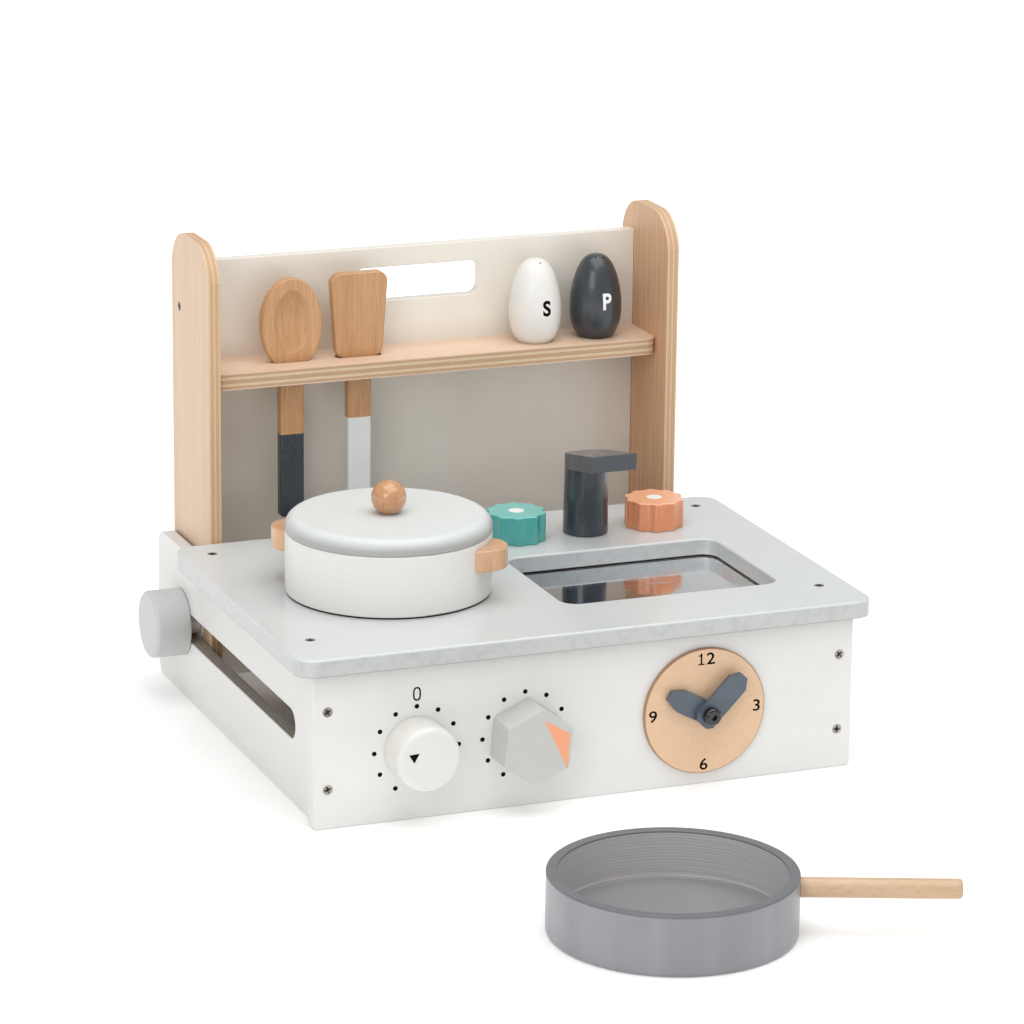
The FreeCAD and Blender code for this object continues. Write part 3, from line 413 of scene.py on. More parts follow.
def mirrorSheet(place, look):
    # polished sheet with smears wiped one way and a haze of small specks, thicker to the right; its colour runs from
    # dark bluish at the left to bright at the right as a painted reflection, and the haze's light colour is partly
    # painted reflection
    strokes = noise(scaled(place, (26, 240, 1)), 1, 4, 0.65, 0.8)
    haze = remapped(noise(scaled(place, (14, 22, 1)), 1, 3, 0.6, 0.4), 0.42, 0.62)
    specks = remapped(noise(scaled(place, (700, 1600, 1)), 1, 2), 0.6, 0.72)
    rightward = remapped(axisOf(place, 0), look["clearX"], look["hazyX"], 0.35, 1.5)
    dull = haze * rightward * (remapped(strokes, 0.4, 0.62) * 0.75 + specks * 0.5)
    # painted reflection: the sheet brightens from left to right
    clear = mixed(remapped(axisOf(place, 0), look["clearX"], look["hazyX"]), look["colour"], look["bright"])
    colour = mixed(dull * 0.7, clear, look["shade"])
    return {"Base Color": colour, "Roughness": look["rough"] + dull * look["hazeRough"],
            "Normal": bumped(strokes + specks * 0.6, 0.05, 0.0001)}


def plastic(place, look):
    grit = noise(place, look["gritScale"], 2)
    colour = mixed(remapped(grit, 0.3, 0.7), look["shade"], look["colour"])
    return {"Base Color": colour, "Roughness": look["rough"] + (grit - 0.5) * 0.15,
            "Normal": bumped(grit, look["relief"], 0.0002)}


def plasticLook(colour, shade, rough, gritScale=900, relief=0.1):
    return {"colour": colour, "shade": shade, "rough": rough, "gritScale": gritScale, "relief": relief}


def gasketFoam(place, look):
    # black foam, its dark line partly painted shade of the gap under the cut-out; its upper half is coloured like the
    # worktop's shaded edge, so the dark line shows thinner
    made = plastic(place, look)
    greyTop = (axisOf(place, 2) > look["paintLow"])
    return dict(made, **{"Base Color": mixed(greyTop, made["Base Color"], look["smear"])})


# the gasket's black is partly painted shade; its upper half is coloured worktop grey
gasketLook = dict(plasticLook(fromScreen(38, 38, 38), fromScreen(26, 26, 26), 0.75, 1600, 0.5),
                  paintLow=0.10955, smear=fromScreen(160, 162, 162))


finishes = {
    "whitePaint": (cabinetWhite, whiteLook, ("side_panel_left", "side_panel_right", "front_panel"), {}),
    "worktopPaint": (worktopGrey, worktopLook, ("worktop",), {"Coat_Weight": 0.45}),
    "panelPaint": (painted, panelLook, ("back_panel",), {"Coat_Weight": 0.2}),
    "birchPly": (plywood, birchLook, ("upright_left", "upright_right"), {}),
    "shelfPly": (plywood, shelfLook, ("shelf",), {}),
    "beechUpright": (wood, beechLook, ("shelf_dowels", "tap_dowel"), {"Coat_Weight": 0.3}),
    "ballBeech": (wood, dict(beechLook, across=1900, poreDepth=0.6, light=fromScreen(206, 156, 111),
                             dark=fromScreen(176, 124, 82), rough=0.26), ("lid_ball",), {"Coat_Weight": 0.7}),
    "beechHandle": (wood, dict(beechLook, across=1700, poreDepth=0.6, light=fromScreen(220, 178, 141),
                               dark=fromScreen(190, 140, 100), rough=0.32),
                    ("pot_handles",), {"Coat_Weight": 0.6}),
    "panStick": (roundStick, dict(beechLook, grainAxis=0, along=50, across=1300, fleckDepth=0.1,
                                  light=fromScreen(208, 180, 148), dark=fromScreen(188, 154, 120),
                                  pore=fromScreen(160, 122, 86), endX=0.1935, endShade=fromScreen(150, 116, 86)),
                 ("pan_handle",), {}),
    "spoonBeech": (dippedHandle, spoonLook, ("spoon",), {}),
    "spatulaBeech": (dippedHandle, spatulaLook, ("spatula",), {}),
    "clockBirch": (clockBirch, dict(beechLook, grainAxis=0, fleckScale=0.9, fleckDepth=0.15, poreDepth=0.3,
                                    along=500, light=fromScreen(227, 194, 160), dark=fromScreen(219, 182, 147),
                                    pore=fromScreen(186, 140, 100),
                                    # the cut edge's dark brown is partly end grain and partly painted shade
                                    centre=(-0.0851, 0, -0.0534), cutRadius=0.0442, cut=fromScreen(136, 92, 60)),
                   ("clock_face",), {}),
    "lidPaint": (lidGrey, lidLook, ("lid",), {"Coat_Weight": 0.15}),
    "hexPaint": (painted, hexLook, ("hex_dial",), {}),
    "lockPaint": (painted, lockLook, ("lock_knob_left", "lock_knob_right"), {}),
    "whiteWoodPaint": (painted, whiteWoodLook, ("round_dial", "pot_body", "salt_shaker"), {"Coat_Weight": 0.1}),
    "slatePaint": (painted, slateLook, ("tap_post", "tap_spout"), {"Coat_Weight": 0.4}),
    "pepperPaint": (painted, pepperLook, ("pepper_shaker",), {"Coat_Weight": 0.3}),
    "tealPaint": (knobPaint, tealLook, ("teal_knob",), {"Coat_Weight": 1.0, "Coat_Roughness": 0.2}),
    "salmonPaint": (knobPaint, salmonLook, ("salmon_knob",), {"Coat_Weight": 1.0, "Coat_Roughness": 0.2}),
    "handPaint": (painted, handLook, ("hour_hand", "minute_hand"), {}),
    "panPaint": (panGrey, panLook, ("pan_body",), {}),
    "mirrorSheet": (mirrorSheet, mirrorLook, ("mirror_plate",), {"Metallic": 1.0}),
    "brightSteel": (metal, steelLook, ("mirror_screws", "clock_washers", "clock_nut", "insert_nuts",
                                       "lock_stud_left", "lock_stud_right", "tap_screw", "tap_washer",
                                       "teal_knob_bolt", "teal_knob_nut", "salmon_knob_bolt", "salmon_knob_nut",
                                       "round_dial_washer", "round_dial_screw", "hex_dial_washer",
                                       "hex_dial_screw"), {"Metallic": 1.0}),
    "blackSteel": (metal, blackLook, ("clock_bolt",), {"Coat_Weight": 0.6}),
    "blackFoam": (plastic, plasticLook(fromScreen(38, 38, 38), fromScreen(26, 26, 26), 0.75, 1600, 0.5),
                  ("pot_foot",), {}),
    "gasketFoam": (gasketFoam, gasketLook, ("sink_gasket",), {}),
    "nylon": (plastic, plasticLook(fromScreen(232, 230, 224), fromScreen(222, 220, 212), 0.4),
              ("spacer_washers", "guide_sleeves"), {}),
    "plugPlastic": (plastic, plasticLook(fromScreen(242, 242, 240), fromScreen(236, 236, 233), 0.3),
                    ("teal_knob_plug", "salmon_knob_plug"), {}),
}
materials = {}
for name, (recipe, look, members, fixed) in finishes.items():
    materials[name] = material(name, recipe, look, **fixed)
    for member in members:
        nodes[member].material_slots[0].material = materials[name]
materials["blackPrint"] = material("blackPrint", plastic,
                                   plasticLook(fromScreen(6, 6, 7), fromScreen(2, 2, 3), 0.8), Specular_IOR_Level=0.1)
materials["whitePrint"] = material("whitePrint", plastic,
                                   plasticLook(fromScreen(238, 238, 238), fromScreen(230, 230, 230), 0.5))
materials["salmonPrint"] = material("salmonPrint", plastic,
                                    plasticLook(fromScreen(242, 168, 128), fromScreen(236, 158, 118), 0.5))
# the recess colour on the screw heads is painted shade
headLook = dict(steelLook, colour=fromScreen(196, 188, 178), shade=fromScreen(150, 142, 132), rough=0.34,
                sunk=fromScreen(28, 24, 20))
materials["frontHead"] = material("frontHead", screwHead, dict(headLook, axis=1, outward=-1, level=0.00545), Metallic=1.0)
# the worktop screw heads are the front heads' steel painted darker: painted shade
materials["topHead"] = material("topHead", screwHead, dict(headLook, axis=2, outward=1, level=0.1215,
                                                           colour=fromScreen(150, 144, 137)), Metallic=1.0)
materials["darkSteel"] = material("darkSteel", metal,
                                  dict(steelLook, colour=fromScreen(120, 112, 104), shade=fromScreen(90, 84, 78)),
                                  Metallic=1.0)
print("materials:", len(materials))


def keep(name, mesh, body, finish, replaced=()):
    mesh.materials.clear()
    mesh.materials.append(materials[finish])
    piece = bpy.data.objects.new(name, mesh)
    bpy.context.scene.collection.objects.link(piece)
    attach(piece, body)
    if replaced:
        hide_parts(*replaced)
    return piece


# Screws with a cross recess, set by geometry nodes on a few points

screwLook = {"Head Radius": 0.0034, "Shank Radius": 0.00175, "Head Depth": 0.0024, "Recess Length": 0.0046,
             "Recess Width": 0.0014, "Recess Depth": 0.0021}
screwSets = [
    ("worktop_screws", "cabinet", "topHead", "black_steel", 0.032, 3,
     [((side * 0.1875, y, 0.1219), (0, 0, 1)) for side in (-1, 1) for y in (0.0294, 0.2427)]),
    ("front_screws", "cabinet", "frontHead", "black_steel", 0.040, 8,
     [((side * 0.1875, -0.0059, z), (0, -1, 0)) for side in (-1, 1) for z in (0.02775, 0.08225)]),
    ("panel_screws", "back_frame", "darkSteel", "black_steel", 0.040, 5,
     [((side * 0.1809, 0.3365, z), (side, 0, 0)) for side in (-1, 1) for z in (0.095, 0.281)]),
]


def nodeTree(name, inputs):
    tree = bpy.data.node_groups.new(name, "GeometryNodeTree")
    tree.interface.new_socket("Geometry", in_out="INPUT", socket_type="NodeSocketGeometry")
    for label, value in inputs.items():
        kind = {float: "NodeSocketFloat", int: "NodeSocketInt", tuple: "NodeSocketVector"}.get(type(value))
        socket = tree.interface.new_socket(label, in_out="INPUT", socket_type=kind or "NodeSocketMaterial")
        if kind:
            socket.default_value = value
    tree.interface.new_socket("Geometry", in_out="OUTPUT", socket_type="NodeSocketGeometry")
    return tree


def placed(tree, source, label):
    return Wire(tree, source.outputs[label])


def screwTree():
    tree = nodeTree("screws", dict(screwLook, **{"Length": 0.04, "Seed": 1, "Material": None}))
    source = tree.nodes.new("NodeGroupInput")
    start = Wire(tree)
    size = {item.name: placed(tree, source, item.name) for item in source.outputs if item.name}
    head = start.add("GeometryNodeMeshCone", inputs={
        "Vertices": 36, "Radius Top": size["Head Radius"], "Radius Bottom": size["Shank Radius"],
        "Depth": size["Head Depth"]})
    head = start.add("GeometryNodeTransform", inputs={
        "Geometry": head, "Translation": start.add("ShaderNodeCombineXYZ", inputs={2: size["Head Depth"] * -1.0})})
    shank = start.add("GeometryNodeMeshCone", inputs={
        "Vertices": 20, "Radius Top": size["Shank Radius"] * 0.98, "Radius Bottom": 0.0003,
        "Depth": size["Length"] - size["Head Depth"] * 0.9})
    shank = start.add("GeometryNodeTransform", inputs={
        "Geometry": shank, "Translation": start.add("ShaderNodeCombineXYZ", inputs={2: size["Length"] * -1.0})})
    bars = []
    for first, second in (("Recess Length", "Recess Width"), ("Recess Width", "Recess Length")):
        bars.append(start.add("GeometryNodeMeshCube", inputs={"Size": start.add(
            "ShaderNodeCombineXYZ", inputs={0: size[first], 1: size[second], 2: size["Recess Depth"] * 2.0})}))
    cut = tree.nodes.new("GeometryNodeMeshBoolean")
    cut.operation = "DIFFERENCE"
    tree.links.new(head.socket, cut.inputs["Mesh 1"])
    for bar in bars:
        tree.links.new(bar.socket, cut.inputs["Mesh 2"])
    whole = tree.nodes.new("GeometryNodeJoinGeometry")
    tree.links.new(cut.outputs["Mesh"], whole.inputs[0])
    tree.links.new(shank.socket, whole.inputs[0])
    facing = start.add("GeometryNodeInputNamedAttribute", {"data_type": "FLOAT_VECTOR"}, {"Name": "facing"})
    turned = start.add("FunctionNodeAlignRotationToVector", {"axis": "Z"}, {"Vector": facing})
    spin = start.add("FunctionNodeRandomValue", {"data_type": "FLOAT"}, {2: 0.0, 3: 1.5, "Seed": size["Seed"]}, out=1)
    twist = start.add("FunctionNodeEulerToRotation", inputs={0: start.add("ShaderNodeCombineXYZ", inputs={2: spin})})
    turned = start.add("FunctionNodeRotateRotation", {"rotation_space": "LOCAL"},
                       {"Rotation": turned, "Rotate By": twist})
    points = start.add("GeometryNodeInstanceOnPoints", inputs={
        "Points": placed(tree, source, "Geometry"), "Instance": Wire(tree, whole.outputs[0]), "Rotation": turned})
    plain = start.add("GeometryNodeRealizeInstances", inputs={"Geometry": points})
    dressed = start.add("GeometryNodeSetMaterial", inputs={"Geometry": plain, "Material": size["Material"]})
    sink = tree.nodes.new("NodeGroupOutput")
    tree.links.new(dressed.socket, sink.inputs["Geometry"])
    return tree


def grown(name, tree, base, values):
    # runs a node tree on a base mesh and gives the plain mesh that it makes
    maker = bpy.data.objects.new(name + "Maker", base)
    bpy.context.scene.collection.objects.link(maker)
    modifier = maker.modifiers.new("grow", "NODES")
    modifier.node_group = tree
    sockets = {item.name: item.identifier for item in tree.interface.items_tree if item.in_out == "INPUT"}
    for label, value in values.items():
        modifier[sockets[label]] = value
    depsgraph = bpy.context.evaluated_depsgraph_get()
    mesh = bpy.data.meshes.new_from_object(maker.evaluated_get(depsgraph))
    bpy.data.objects.remove(maker)
    mesh.name = name
    return mesh


def pointCloud(places):
    mesh = bpy.data.meshes.new("points")
    mesh.from_pydata([place for place, facing in places], [], [])
    attribute = mesh.attributes.new("facing", "FLOAT_VECTOR", "POINT")
    for item, (place, facing) in zip(attribute.data, places):
        item.vector = facing
    return mesh


screws = screwTree()
for name, body, finish, slot, length, seed, places in screwSets:
    mesh = grown(name + "Cross", screws, pointCloud(places),
                 {"Length": length, "Seed": seed, "Material": materials[finish]})
    keep(name + "_cross", mesh, body, finish, (name,))
print("screws set")


# Nodes whose outline the photograph shows a little differently: reshaped copies stand for them

frameLook = {"front": 0.268, "rear": 0.3545, "top": 0.3365, "frontRadius": 0.030, "rearRadius": 0.030, "steps": 48, "edgeRadius": 0.0008,
             "panelOldTop": 0.3113, "panelRise": 0.0028,
             "washerMiddle": (0.0851, 0.0534), "washerFront": -0.0189, "washerGrip": 0.0062, "washerRadius": 0.0054,
             "spatulaFoot": 0.2358, "spatulaTop": 0.3052, "spatulaNewFoot": 0.2390, "spatulaNewTop": 0.3034,
             "handleStart": 0.19}


def smoothed(mesh, angle=35, bevel=None):
    # rounded edges shaded smooth, with the large flat faces left flat
    if bevel:
        holder = bpy.data.objects.new("holder", mesh)
        bpy.context.scene.collection.objects.link(holder)
        rounding = holder.modifiers.new("rounding", "BEVEL")
        rounding.width, rounding.segments = bevel, 3
        rounding.limit_method, rounding.angle_limit = "ANGLE", math.radians(60)
        mesh = bpy.data.meshes.new_from_object(holder.evaluated_get(bpy.context.evaluated_depsgraph_get()))
        bpy.data.objects.remove(holder)
    for polygon in mesh.polygons:
        polygon.use_smooth = True
    mesh.set_sharp_from_angle(angle=math.radians(angle))
    holder = bpy.data.objects.new("holder", mesh)
    bpy.context.scene.collection.objects.link(holder)
    weighted = holder.modifiers.new("weighted", "WEIGHTED_NORMAL")
    weighted.mode, weighted.weight, weighted.keep_sharp = "FACE_AREA", 100, True
    shaded = bpy.data.meshes.new_from_object(holder.evaluated_get(bpy.context.evaluated_depsgraph_get()))
    bpy.data.objects.remove(holder)
    return shaded


def mergedCopy(node):
    # the frame's mesh is loose triangles, so its copy is joined first
    mesh = nodes[node].data.copy()
    build = bmesh.new()
    build.from_mesh(mesh)
    bmesh.ops.remove_doubles(build, verts=build.verts, dist=1e-6)
    build.to_mesh(mesh)
    build.free()
    return mesh


def uprightCopy(node):
    # the upright with a lower top and a wider front curve, cut by a rounded block
    look = frameLook
    corners = [(look["front"] - 0.005, -0.005), (look["rear"] + 0.005, -0.005),
               (look["rear"] + 0.005, look["top"] - look["rearRadius"] + 0.001)]
    for step in range(1, look["steps"]):
        turn = math.pi / 2 * step / look["steps"]
        corners.append((look["rear"] - look["rearRadius"] * (1 - math.cos(turn)),
                        look["top"] - look["rearRadius"] * (1 - math.sin(turn))))
    for step in range(1, look["steps"]):
        turn = math.pi / 2 * step / look["steps"]
        corners.append((look["front"] + look["frontRadius"] * (1 - math.sin(turn)),
                        look["top"] - look["frontRadius"] * (1 - math.cos(turn))))
    corners.append((look["front"] - 0.005, look["top"] - look["frontRadius"] + 0.001))
    build = bmesh.new()
    face = build.faces.new([build.verts.new((-0.25, y, z)) for y, z in corners])
    bulk = bmesh.ops.extrude_face_region(build, geom=[face])
    bmesh.ops.translate(build, verts=[item for item in bulk["geom"] if isinstance(item, bmesh.types.BMVert)],
                        vec=(0.5, 0, 0))
    bmesh.ops.recalc_face_normals(build, faces=build.faces)
    block = bpy.data.meshes.new("block")
    build.to_mesh(block)
    build.free()
    cutter = bpy.data.objects.new("cutter", block)
    holder = bpy.data.objects.new("holder", mergedCopy(node))
    for made in (cutter, holder):
        bpy.context.scene.collection.objects.link(made)
    cut = holder.modifiers.new("cut", "BOOLEAN")
    cut.operation, cut.solver, cut.object = "INTERSECT", "EXACT", cutter
    mesh = bpy.data.meshes.new_from_object(holder.evaluated_get(bpy.context.evaluated_depsgraph_get()))
    for made in (cutter, holder):
        bpy.data.objects.remove(made)
    return smoothed(mesh, bevel=look["edgeRadius"])


def remade(node, change):
    # a copy of a node's mesh with its points moved
    mesh = mergedCopy(node)
    for vertex in mesh.vertices:
        vertex.co = change(vertex.co.copy())
    return smoothed(mesh)


def panelPoint(point):
    if point.z > frameLook["panelOldTop"] - 0.001:
        point.z += frameLook["panelRise"]
    return point


def washerPoint(point):
    look = frameLook
    across, up = point.x - look["washerMiddle"][0], point.z - look["washerMiddle"][1]
    radius = math.hypot(across, up)
    if point.y < look["washerFront"] and radius > look["washerGrip"]:
        factor = look["washerRadius"] / radius
        point.x, point.z = look["washerMiddle"][0] + across * factor, look["washerMiddle"][1] + up * factor
    return point


def spatulaPoint(point):
    look = frameLook
    if point.z > look["spatulaFoot"]:
        share = (point.z - look["spatulaFoot"]) / (look["spatulaTop"] - look["spatulaFoot"])
        point.z = look["spatulaNewFoot"] + share * (look["spatulaNewTop"] - look["spatulaNewFoot"])
    elif point.z > look["handleStart"]:
        share = (point.z - look["handleStart"]) / (look["spatulaFoot"] - look["handleStart"])
        point.z = look["handleStart"] + share * (look["spatulaNewFoot"] - look["handleStart"])
    return point


for side in ("left", "right"):
    keep("upright_" + side + "_ply", uprightCopy("upright_" + side), "back_frame", "birchPly",
         ("upright_" + side,))
keep("back_panel_board", remade("back_panel", panelPoint), "back_frame", "panelPaint", ("back_panel",))
keep("clock_washers_set", remade("clock_washers", washerPoint), "cabinet", "brightSteel", ("clock_washers",))
keep("spatula_stick", remade("spatula", spatulaPoint), "spatula", "spatulaBeech", ("spatula",))
print("reshaped copies made")


# Dots round the dials, a disc on each point of an arc

dotLook = {"Dots": 11, "Step": math.radians(30), "Ring Radius": 0.0302, "Dot Radius": 0.00165, "Thickness": 0.0001}


def dotTree():
    tree = nodeTree("dots", dict(dotLook, **{"Centre": (0.0, 0.0, 0.0), "Material": None}))
    source = tree.nodes.new("NodeGroupInput")
    start = Wire(tree)
    size = {item.name: placed(tree, source, item.name) for item in source.outputs if item.name}
    index = start.add("GeometryNodeInputIndex")
    angle = (index - (size["Dots"] - 1.0) * 0.5) * size["Step"]
    ringPlace = start.add("ShaderNodeCombineXYZ", inputs={
        0: angle.maths("SINE", angle) * size["Ring Radius"], 2: angle.maths("COSINE", angle) * size["Ring Radius"]})
    place = start.add("ShaderNodeVectorMath", {"operation": "ADD"}, {0: ringPlace, 1: size["Centre"]})
    points = start.add("GeometryNodePoints", inputs={"Count": size["Dots"], "Position": place})
    disc = start.add("GeometryNodeMeshCylinder", inputs={
        "Vertices": 28, "Radius": size["Dot Radius"], "Depth": size["Thickness"]})
    discs = start.add("GeometryNodeInstanceOnPoints", inputs={
        "Points": points, "Instance": disc,
        "Rotation": start.add("FunctionNodeEulerToRotation", inputs={0: (math.pi / 2, 0, 0)})})
    plain = start.add("GeometryNodeRealizeInstances", inputs={"Geometry": discs})
    dressed = start.add("GeometryNodeSetMaterial", inputs={"Geometry": plain, "Material": size["Material"]})
    sink = tree.nodes.new("NodeGroupOutput")
    tree.links.new(dressed.socket, sink.inputs["Geometry"])
    return tree


dots = dotTree()
frontFace = -0.006
for name, x, z, reach in (("round_dial_dots", -0.1245, 0.0493, 0.0302), ("hex_dial_dots", -0.0466, 0.0505, 0.0307)):
    mesh = grown(name, dots, bpy.data.meshes.new("none"),
                 {"Centre": (x, frontFace - 0.00003, z), "Ring Radius": reach, "Material": materials["blackPrint"]})
    keep(name, mesh, "cabinet", "blackPrint")
print("dots printed")


# Printed numbers, letters and marks

def flatText(text, height, weight, wide=1.0):
    # a text as a thin mesh in its own plane, centred, its figures the given height
    curve = bpy.data.curves.new(text, "FONT")
    curve.body = text
    curve.size = 1.0
    curve.offset = weight
    curve.extrude = 0.01
    curve.resolution_u = 6
    holder = bpy.data.objects.new(text, curve)
    bpy.context.scene.collection.objects.link(holder)
    depsgraph = bpy.context.evaluated_depsgraph_get()
    mesh = bpy.data.meshes.new_from_object(holder.evaluated_get(depsgraph))
    bpy.data.objects.remove(holder)
    xs = [vertex.co.x for vertex in mesh.vertices]
    ys = [vertex.co.y for vertex in mesh.vertices]
    scale = height / (max(ys) - min(ys))
    middle = Vector(((max(xs) + min(xs)) / 2, (max(ys) + min(ys)) / 2, 0))
    for vertex in mesh.vertices:
        local = (vertex.co - middle) * scale
        vertex.co = (local.x * wide, local.y, 0.00004 if vertex.co.z > 0 else -0.00004)
    return mesh


def onFront(mesh, x, y, z):
    # stands a flat mesh up to face the front
    mesh.transform(Matrix.Translation((x, y, z)) @ Matrix.Rotation(math.pi / 2, 4, "X"))
    return mesh


clockLook = {"centre": (0.0851, 0.0534), "face": -0.009, "height": 0.0084, "weight": 0.011, "wide": 1.16,
             "figures": [("2", 0.0035, 0.0376), ("3", 0.0388, 0.0), ("6", 0.0, -0.0384), ("9", -0.0387, 0.0)],
             "oneRight": -0.0035,
             "one": [(-0.26, -0.5), (0.28, -0.5), (0.28, -0.4), (0.075, -0.4), (0.075, 0.5), (-0.035, 0.5),
                     (-0.07, 0.4), (-0.15, 0.34), (-0.26, 0.33), (-0.26, 0.24), (-0.065, 0.24), (-0.065, -0.4),
                     (-0.26, -0.4)]}
for text, right, up in clockLook["figures"]:
    mesh = flatText(text, clockLook["height"], clockLook["weight"], clockLook["wide"])
    onFront(mesh, clockLook["centre"][0] + right, clockLook["face"] - 0.00003, clockLook["centre"][1] + up)
    keep("clock_figure_" + text, mesh, "cabinet", "blackPrint")


noughtLook = {"centre": (-0.1245, 0.0882), "halfWidth": 0.0023, "halfHeight": 0.0043, "stroke": 0.0011, "steps": 48}


def nought():
    # a narrow rounded ring, as on a cooker's scale
    look = noughtLook
    mesh = bpy.data.meshes.new("nought")
    build = bmesh.new()
    rows = []
    for depth in (-0.00004, 0.00004):
        for grow in (-look["stroke"] / 2, look["stroke"] / 2):
            row = []
            for step in range(look["steps"]):
                angle = 2 * math.pi * step / look["steps"]
                wide, high = math.cos(angle), math.sin(angle)
                across = math.copysign(abs(wide) ** 0.75, wide) * (look["halfWidth"] + grow)
                up = math.copysign(abs(high) ** 0.75, high) * (look["halfHeight"] + grow)
                row.append(build.verts.new((across, up, depth)))
            rows.append(row)
    for first, second in ((0, 1), (1, 3), (3, 2), (2, 0)):
        for step in range(look["steps"]):
            after = (step + 1) % look["steps"]
            build.faces.new((rows[first][step], rows[first][after], rows[second][after], rows[second][step]))
    bmesh.ops.recalc_face_normals(build, faces=build.faces)
    build.to_mesh(mesh)
    build.free()
    return mesh


keep("dial_nought", onFront(nought(), noughtLook["centre"][0], frontFace - 0.00003, noughtLook["centre"][1]),
     "cabinet", "blackPrint")


def prism(corners, level, thickness):
    # a flat plate from corners in X and Z, facing the front
    mesh = bpy.data.meshes.new("plate")
    build = bmesh.new()
    face = build.faces.new([build.verts.new((x, level, z)) for x, z in corners])
    bulk = bmesh.ops.extrude_face_region(build, geom=[face])
    moved = [item for item in bulk["geom"] if isinstance(item, bmesh.types.BMVert)]
    bmesh.ops.translate(build, verts=moved, vec=(0, -thickness, 0))
    bmesh.ops.recalc_face_normals(build, faces=build.faces)
    build.to_mesh(mesh)
    build.free()
    return mesh


oneCorners = [(clockLook["centre"][0] + clockLook["oneRight"] + x * clockLook["height"],
               clockLook["centre"][1] + 0.0376 + z * clockLook["height"]) for x, z in clockLook["one"]]
keep("clock_figure_1", prism(oneCorners, clockLook["face"] + 0.00001, 0.00008), "cabinet", "blackPrint")

dialMarks = [
    ("round_dial_pointer", "round_cooker_dial", "blackPrint", "black_steel", -0.03398,
     [(-0.1402, 0.0556), (-0.1328, 0.0561), (-0.1364, 0.0496)]),
    ("hex_dial_pointer", "hex_cooker_dial", "salmonPrint", "salmon_wood", -0.03398,
     [(-0.0435, 0.0690), (-0.0249, 0.0578), (-0.0265, 0.0329)]),
]
for name, body, finish, slot, level, corners in dialMarks:
    keep(name, prism(corners, level, 0.0001), body, finish)
print("marks printed")


# Shakers: a letter wrapped on the egg, and black discs on top as painted shade standing for the pierced holes

eggLook = {"radius": 0.019, "height": 0.062, "footCut": 0.0035, "fullness": 0.15, "bluntness": 0.72, "foot": 0.2412,
           "levels": 72, "steps": 120}


def eggRadius(height):
    # the egg's radius at a height above its foot
    whole = eggLook["height"] + eggLook["footCut"]
    turn = math.acos(max(-1.0, min(1.0, 1 - 2 * (height + eggLook["footCut"]) / whole)))
    return eggLook["radius"] * max(0.0, math.sin(turn)) ** eggLook["bluntness"] * (1 + eggLook["fullness"] * math.cos(turn))


def gridded(mesh, step):
    # cuts a flat mesh along a fine grid, so that it can follow a round surface
    build = bmesh.new()
    build.from_mesh(mesh)
    bmesh.ops.remove_doubles(build, verts=build.verts, dist=1e-6)
    for way in (Vector((1, 0, 0)), Vector((0, 1, 0))):
        reach = [vertex.co.dot(way) for vertex in build.verts]
        low, high = min(reach), max(reach)
        for count in range(1, math.ceil((high - low) / step)):
            bmesh.ops.bisect_plane(build, geom=build.verts[:] + build.edges[:] + build.faces[:], dist=1e-7,
                                   plane_co=way * (low + count * step), plane_no=way)
    bmesh.ops.recalc_face_normals(build, faces=build.faces)
    build.to_mesh(mesh)
    build.free()
    return mesh


def onEgg(mesh, axisPlace, angle, height, lift):
    # wraps a flat mesh round the egg; the angle is from the front towards the right
    for vertex in mesh.vertices:
        level = height + vertex.co.y
        radius = eggRadius(level)
        turn = angle + vertex.co.x / radius
        reach = radius + (lift if vertex.co.z > 0 else -lift)
        vertex.co = (axisPlace[0] + reach * math.sin(turn), axisPlace[1] - reach * math.cos(turn),
                     eggLook["foot"] + level)
    return mesh


# black discs on the egg's top: painted shade standing for the hollows of pierced holes
def holeShadeTree():
    tree = nodeTree("holes", {"Hole Radius": 0.0006, "Depth": 0.0003, "Material": None})
    source = tree.nodes.new("NodeGroupInput")
    start = Wire(tree)
    size = {item.name: placed(tree, source, item.name) for item in source.outputs if item.name}
    facing = start.add("GeometryNodeInputNamedAttribute", {"data_type": "FLOAT_VECTOR"}, {"Name": "facing"})
    turned = start.add("FunctionNodeAlignRotationToVector", {"axis": "Z"}, {"Vector": facing})
    disc = start.add("GeometryNodeMeshCylinder", inputs={
        "Vertices": 20, "Radius": size["Hole Radius"], "Depth": size["Depth"]})
    discs = start.add("GeometryNodeInstanceOnPoints", inputs={
        "Points": placed(tree, source, "Geometry"), "Instance": disc, "Rotation": turned})
    plain = start.add("GeometryNodeRealizeInstances", inputs={"Geometry": discs})
    dressed = start.add("GeometryNodeSetMaterial", inputs={"Geometry": plain, "Material": size["Material"]})
    sink = tree.nodes.new("NodeGroupOutput")
    tree.links.new(dressed.socket, sink.inputs["Geometry"])
    return tree


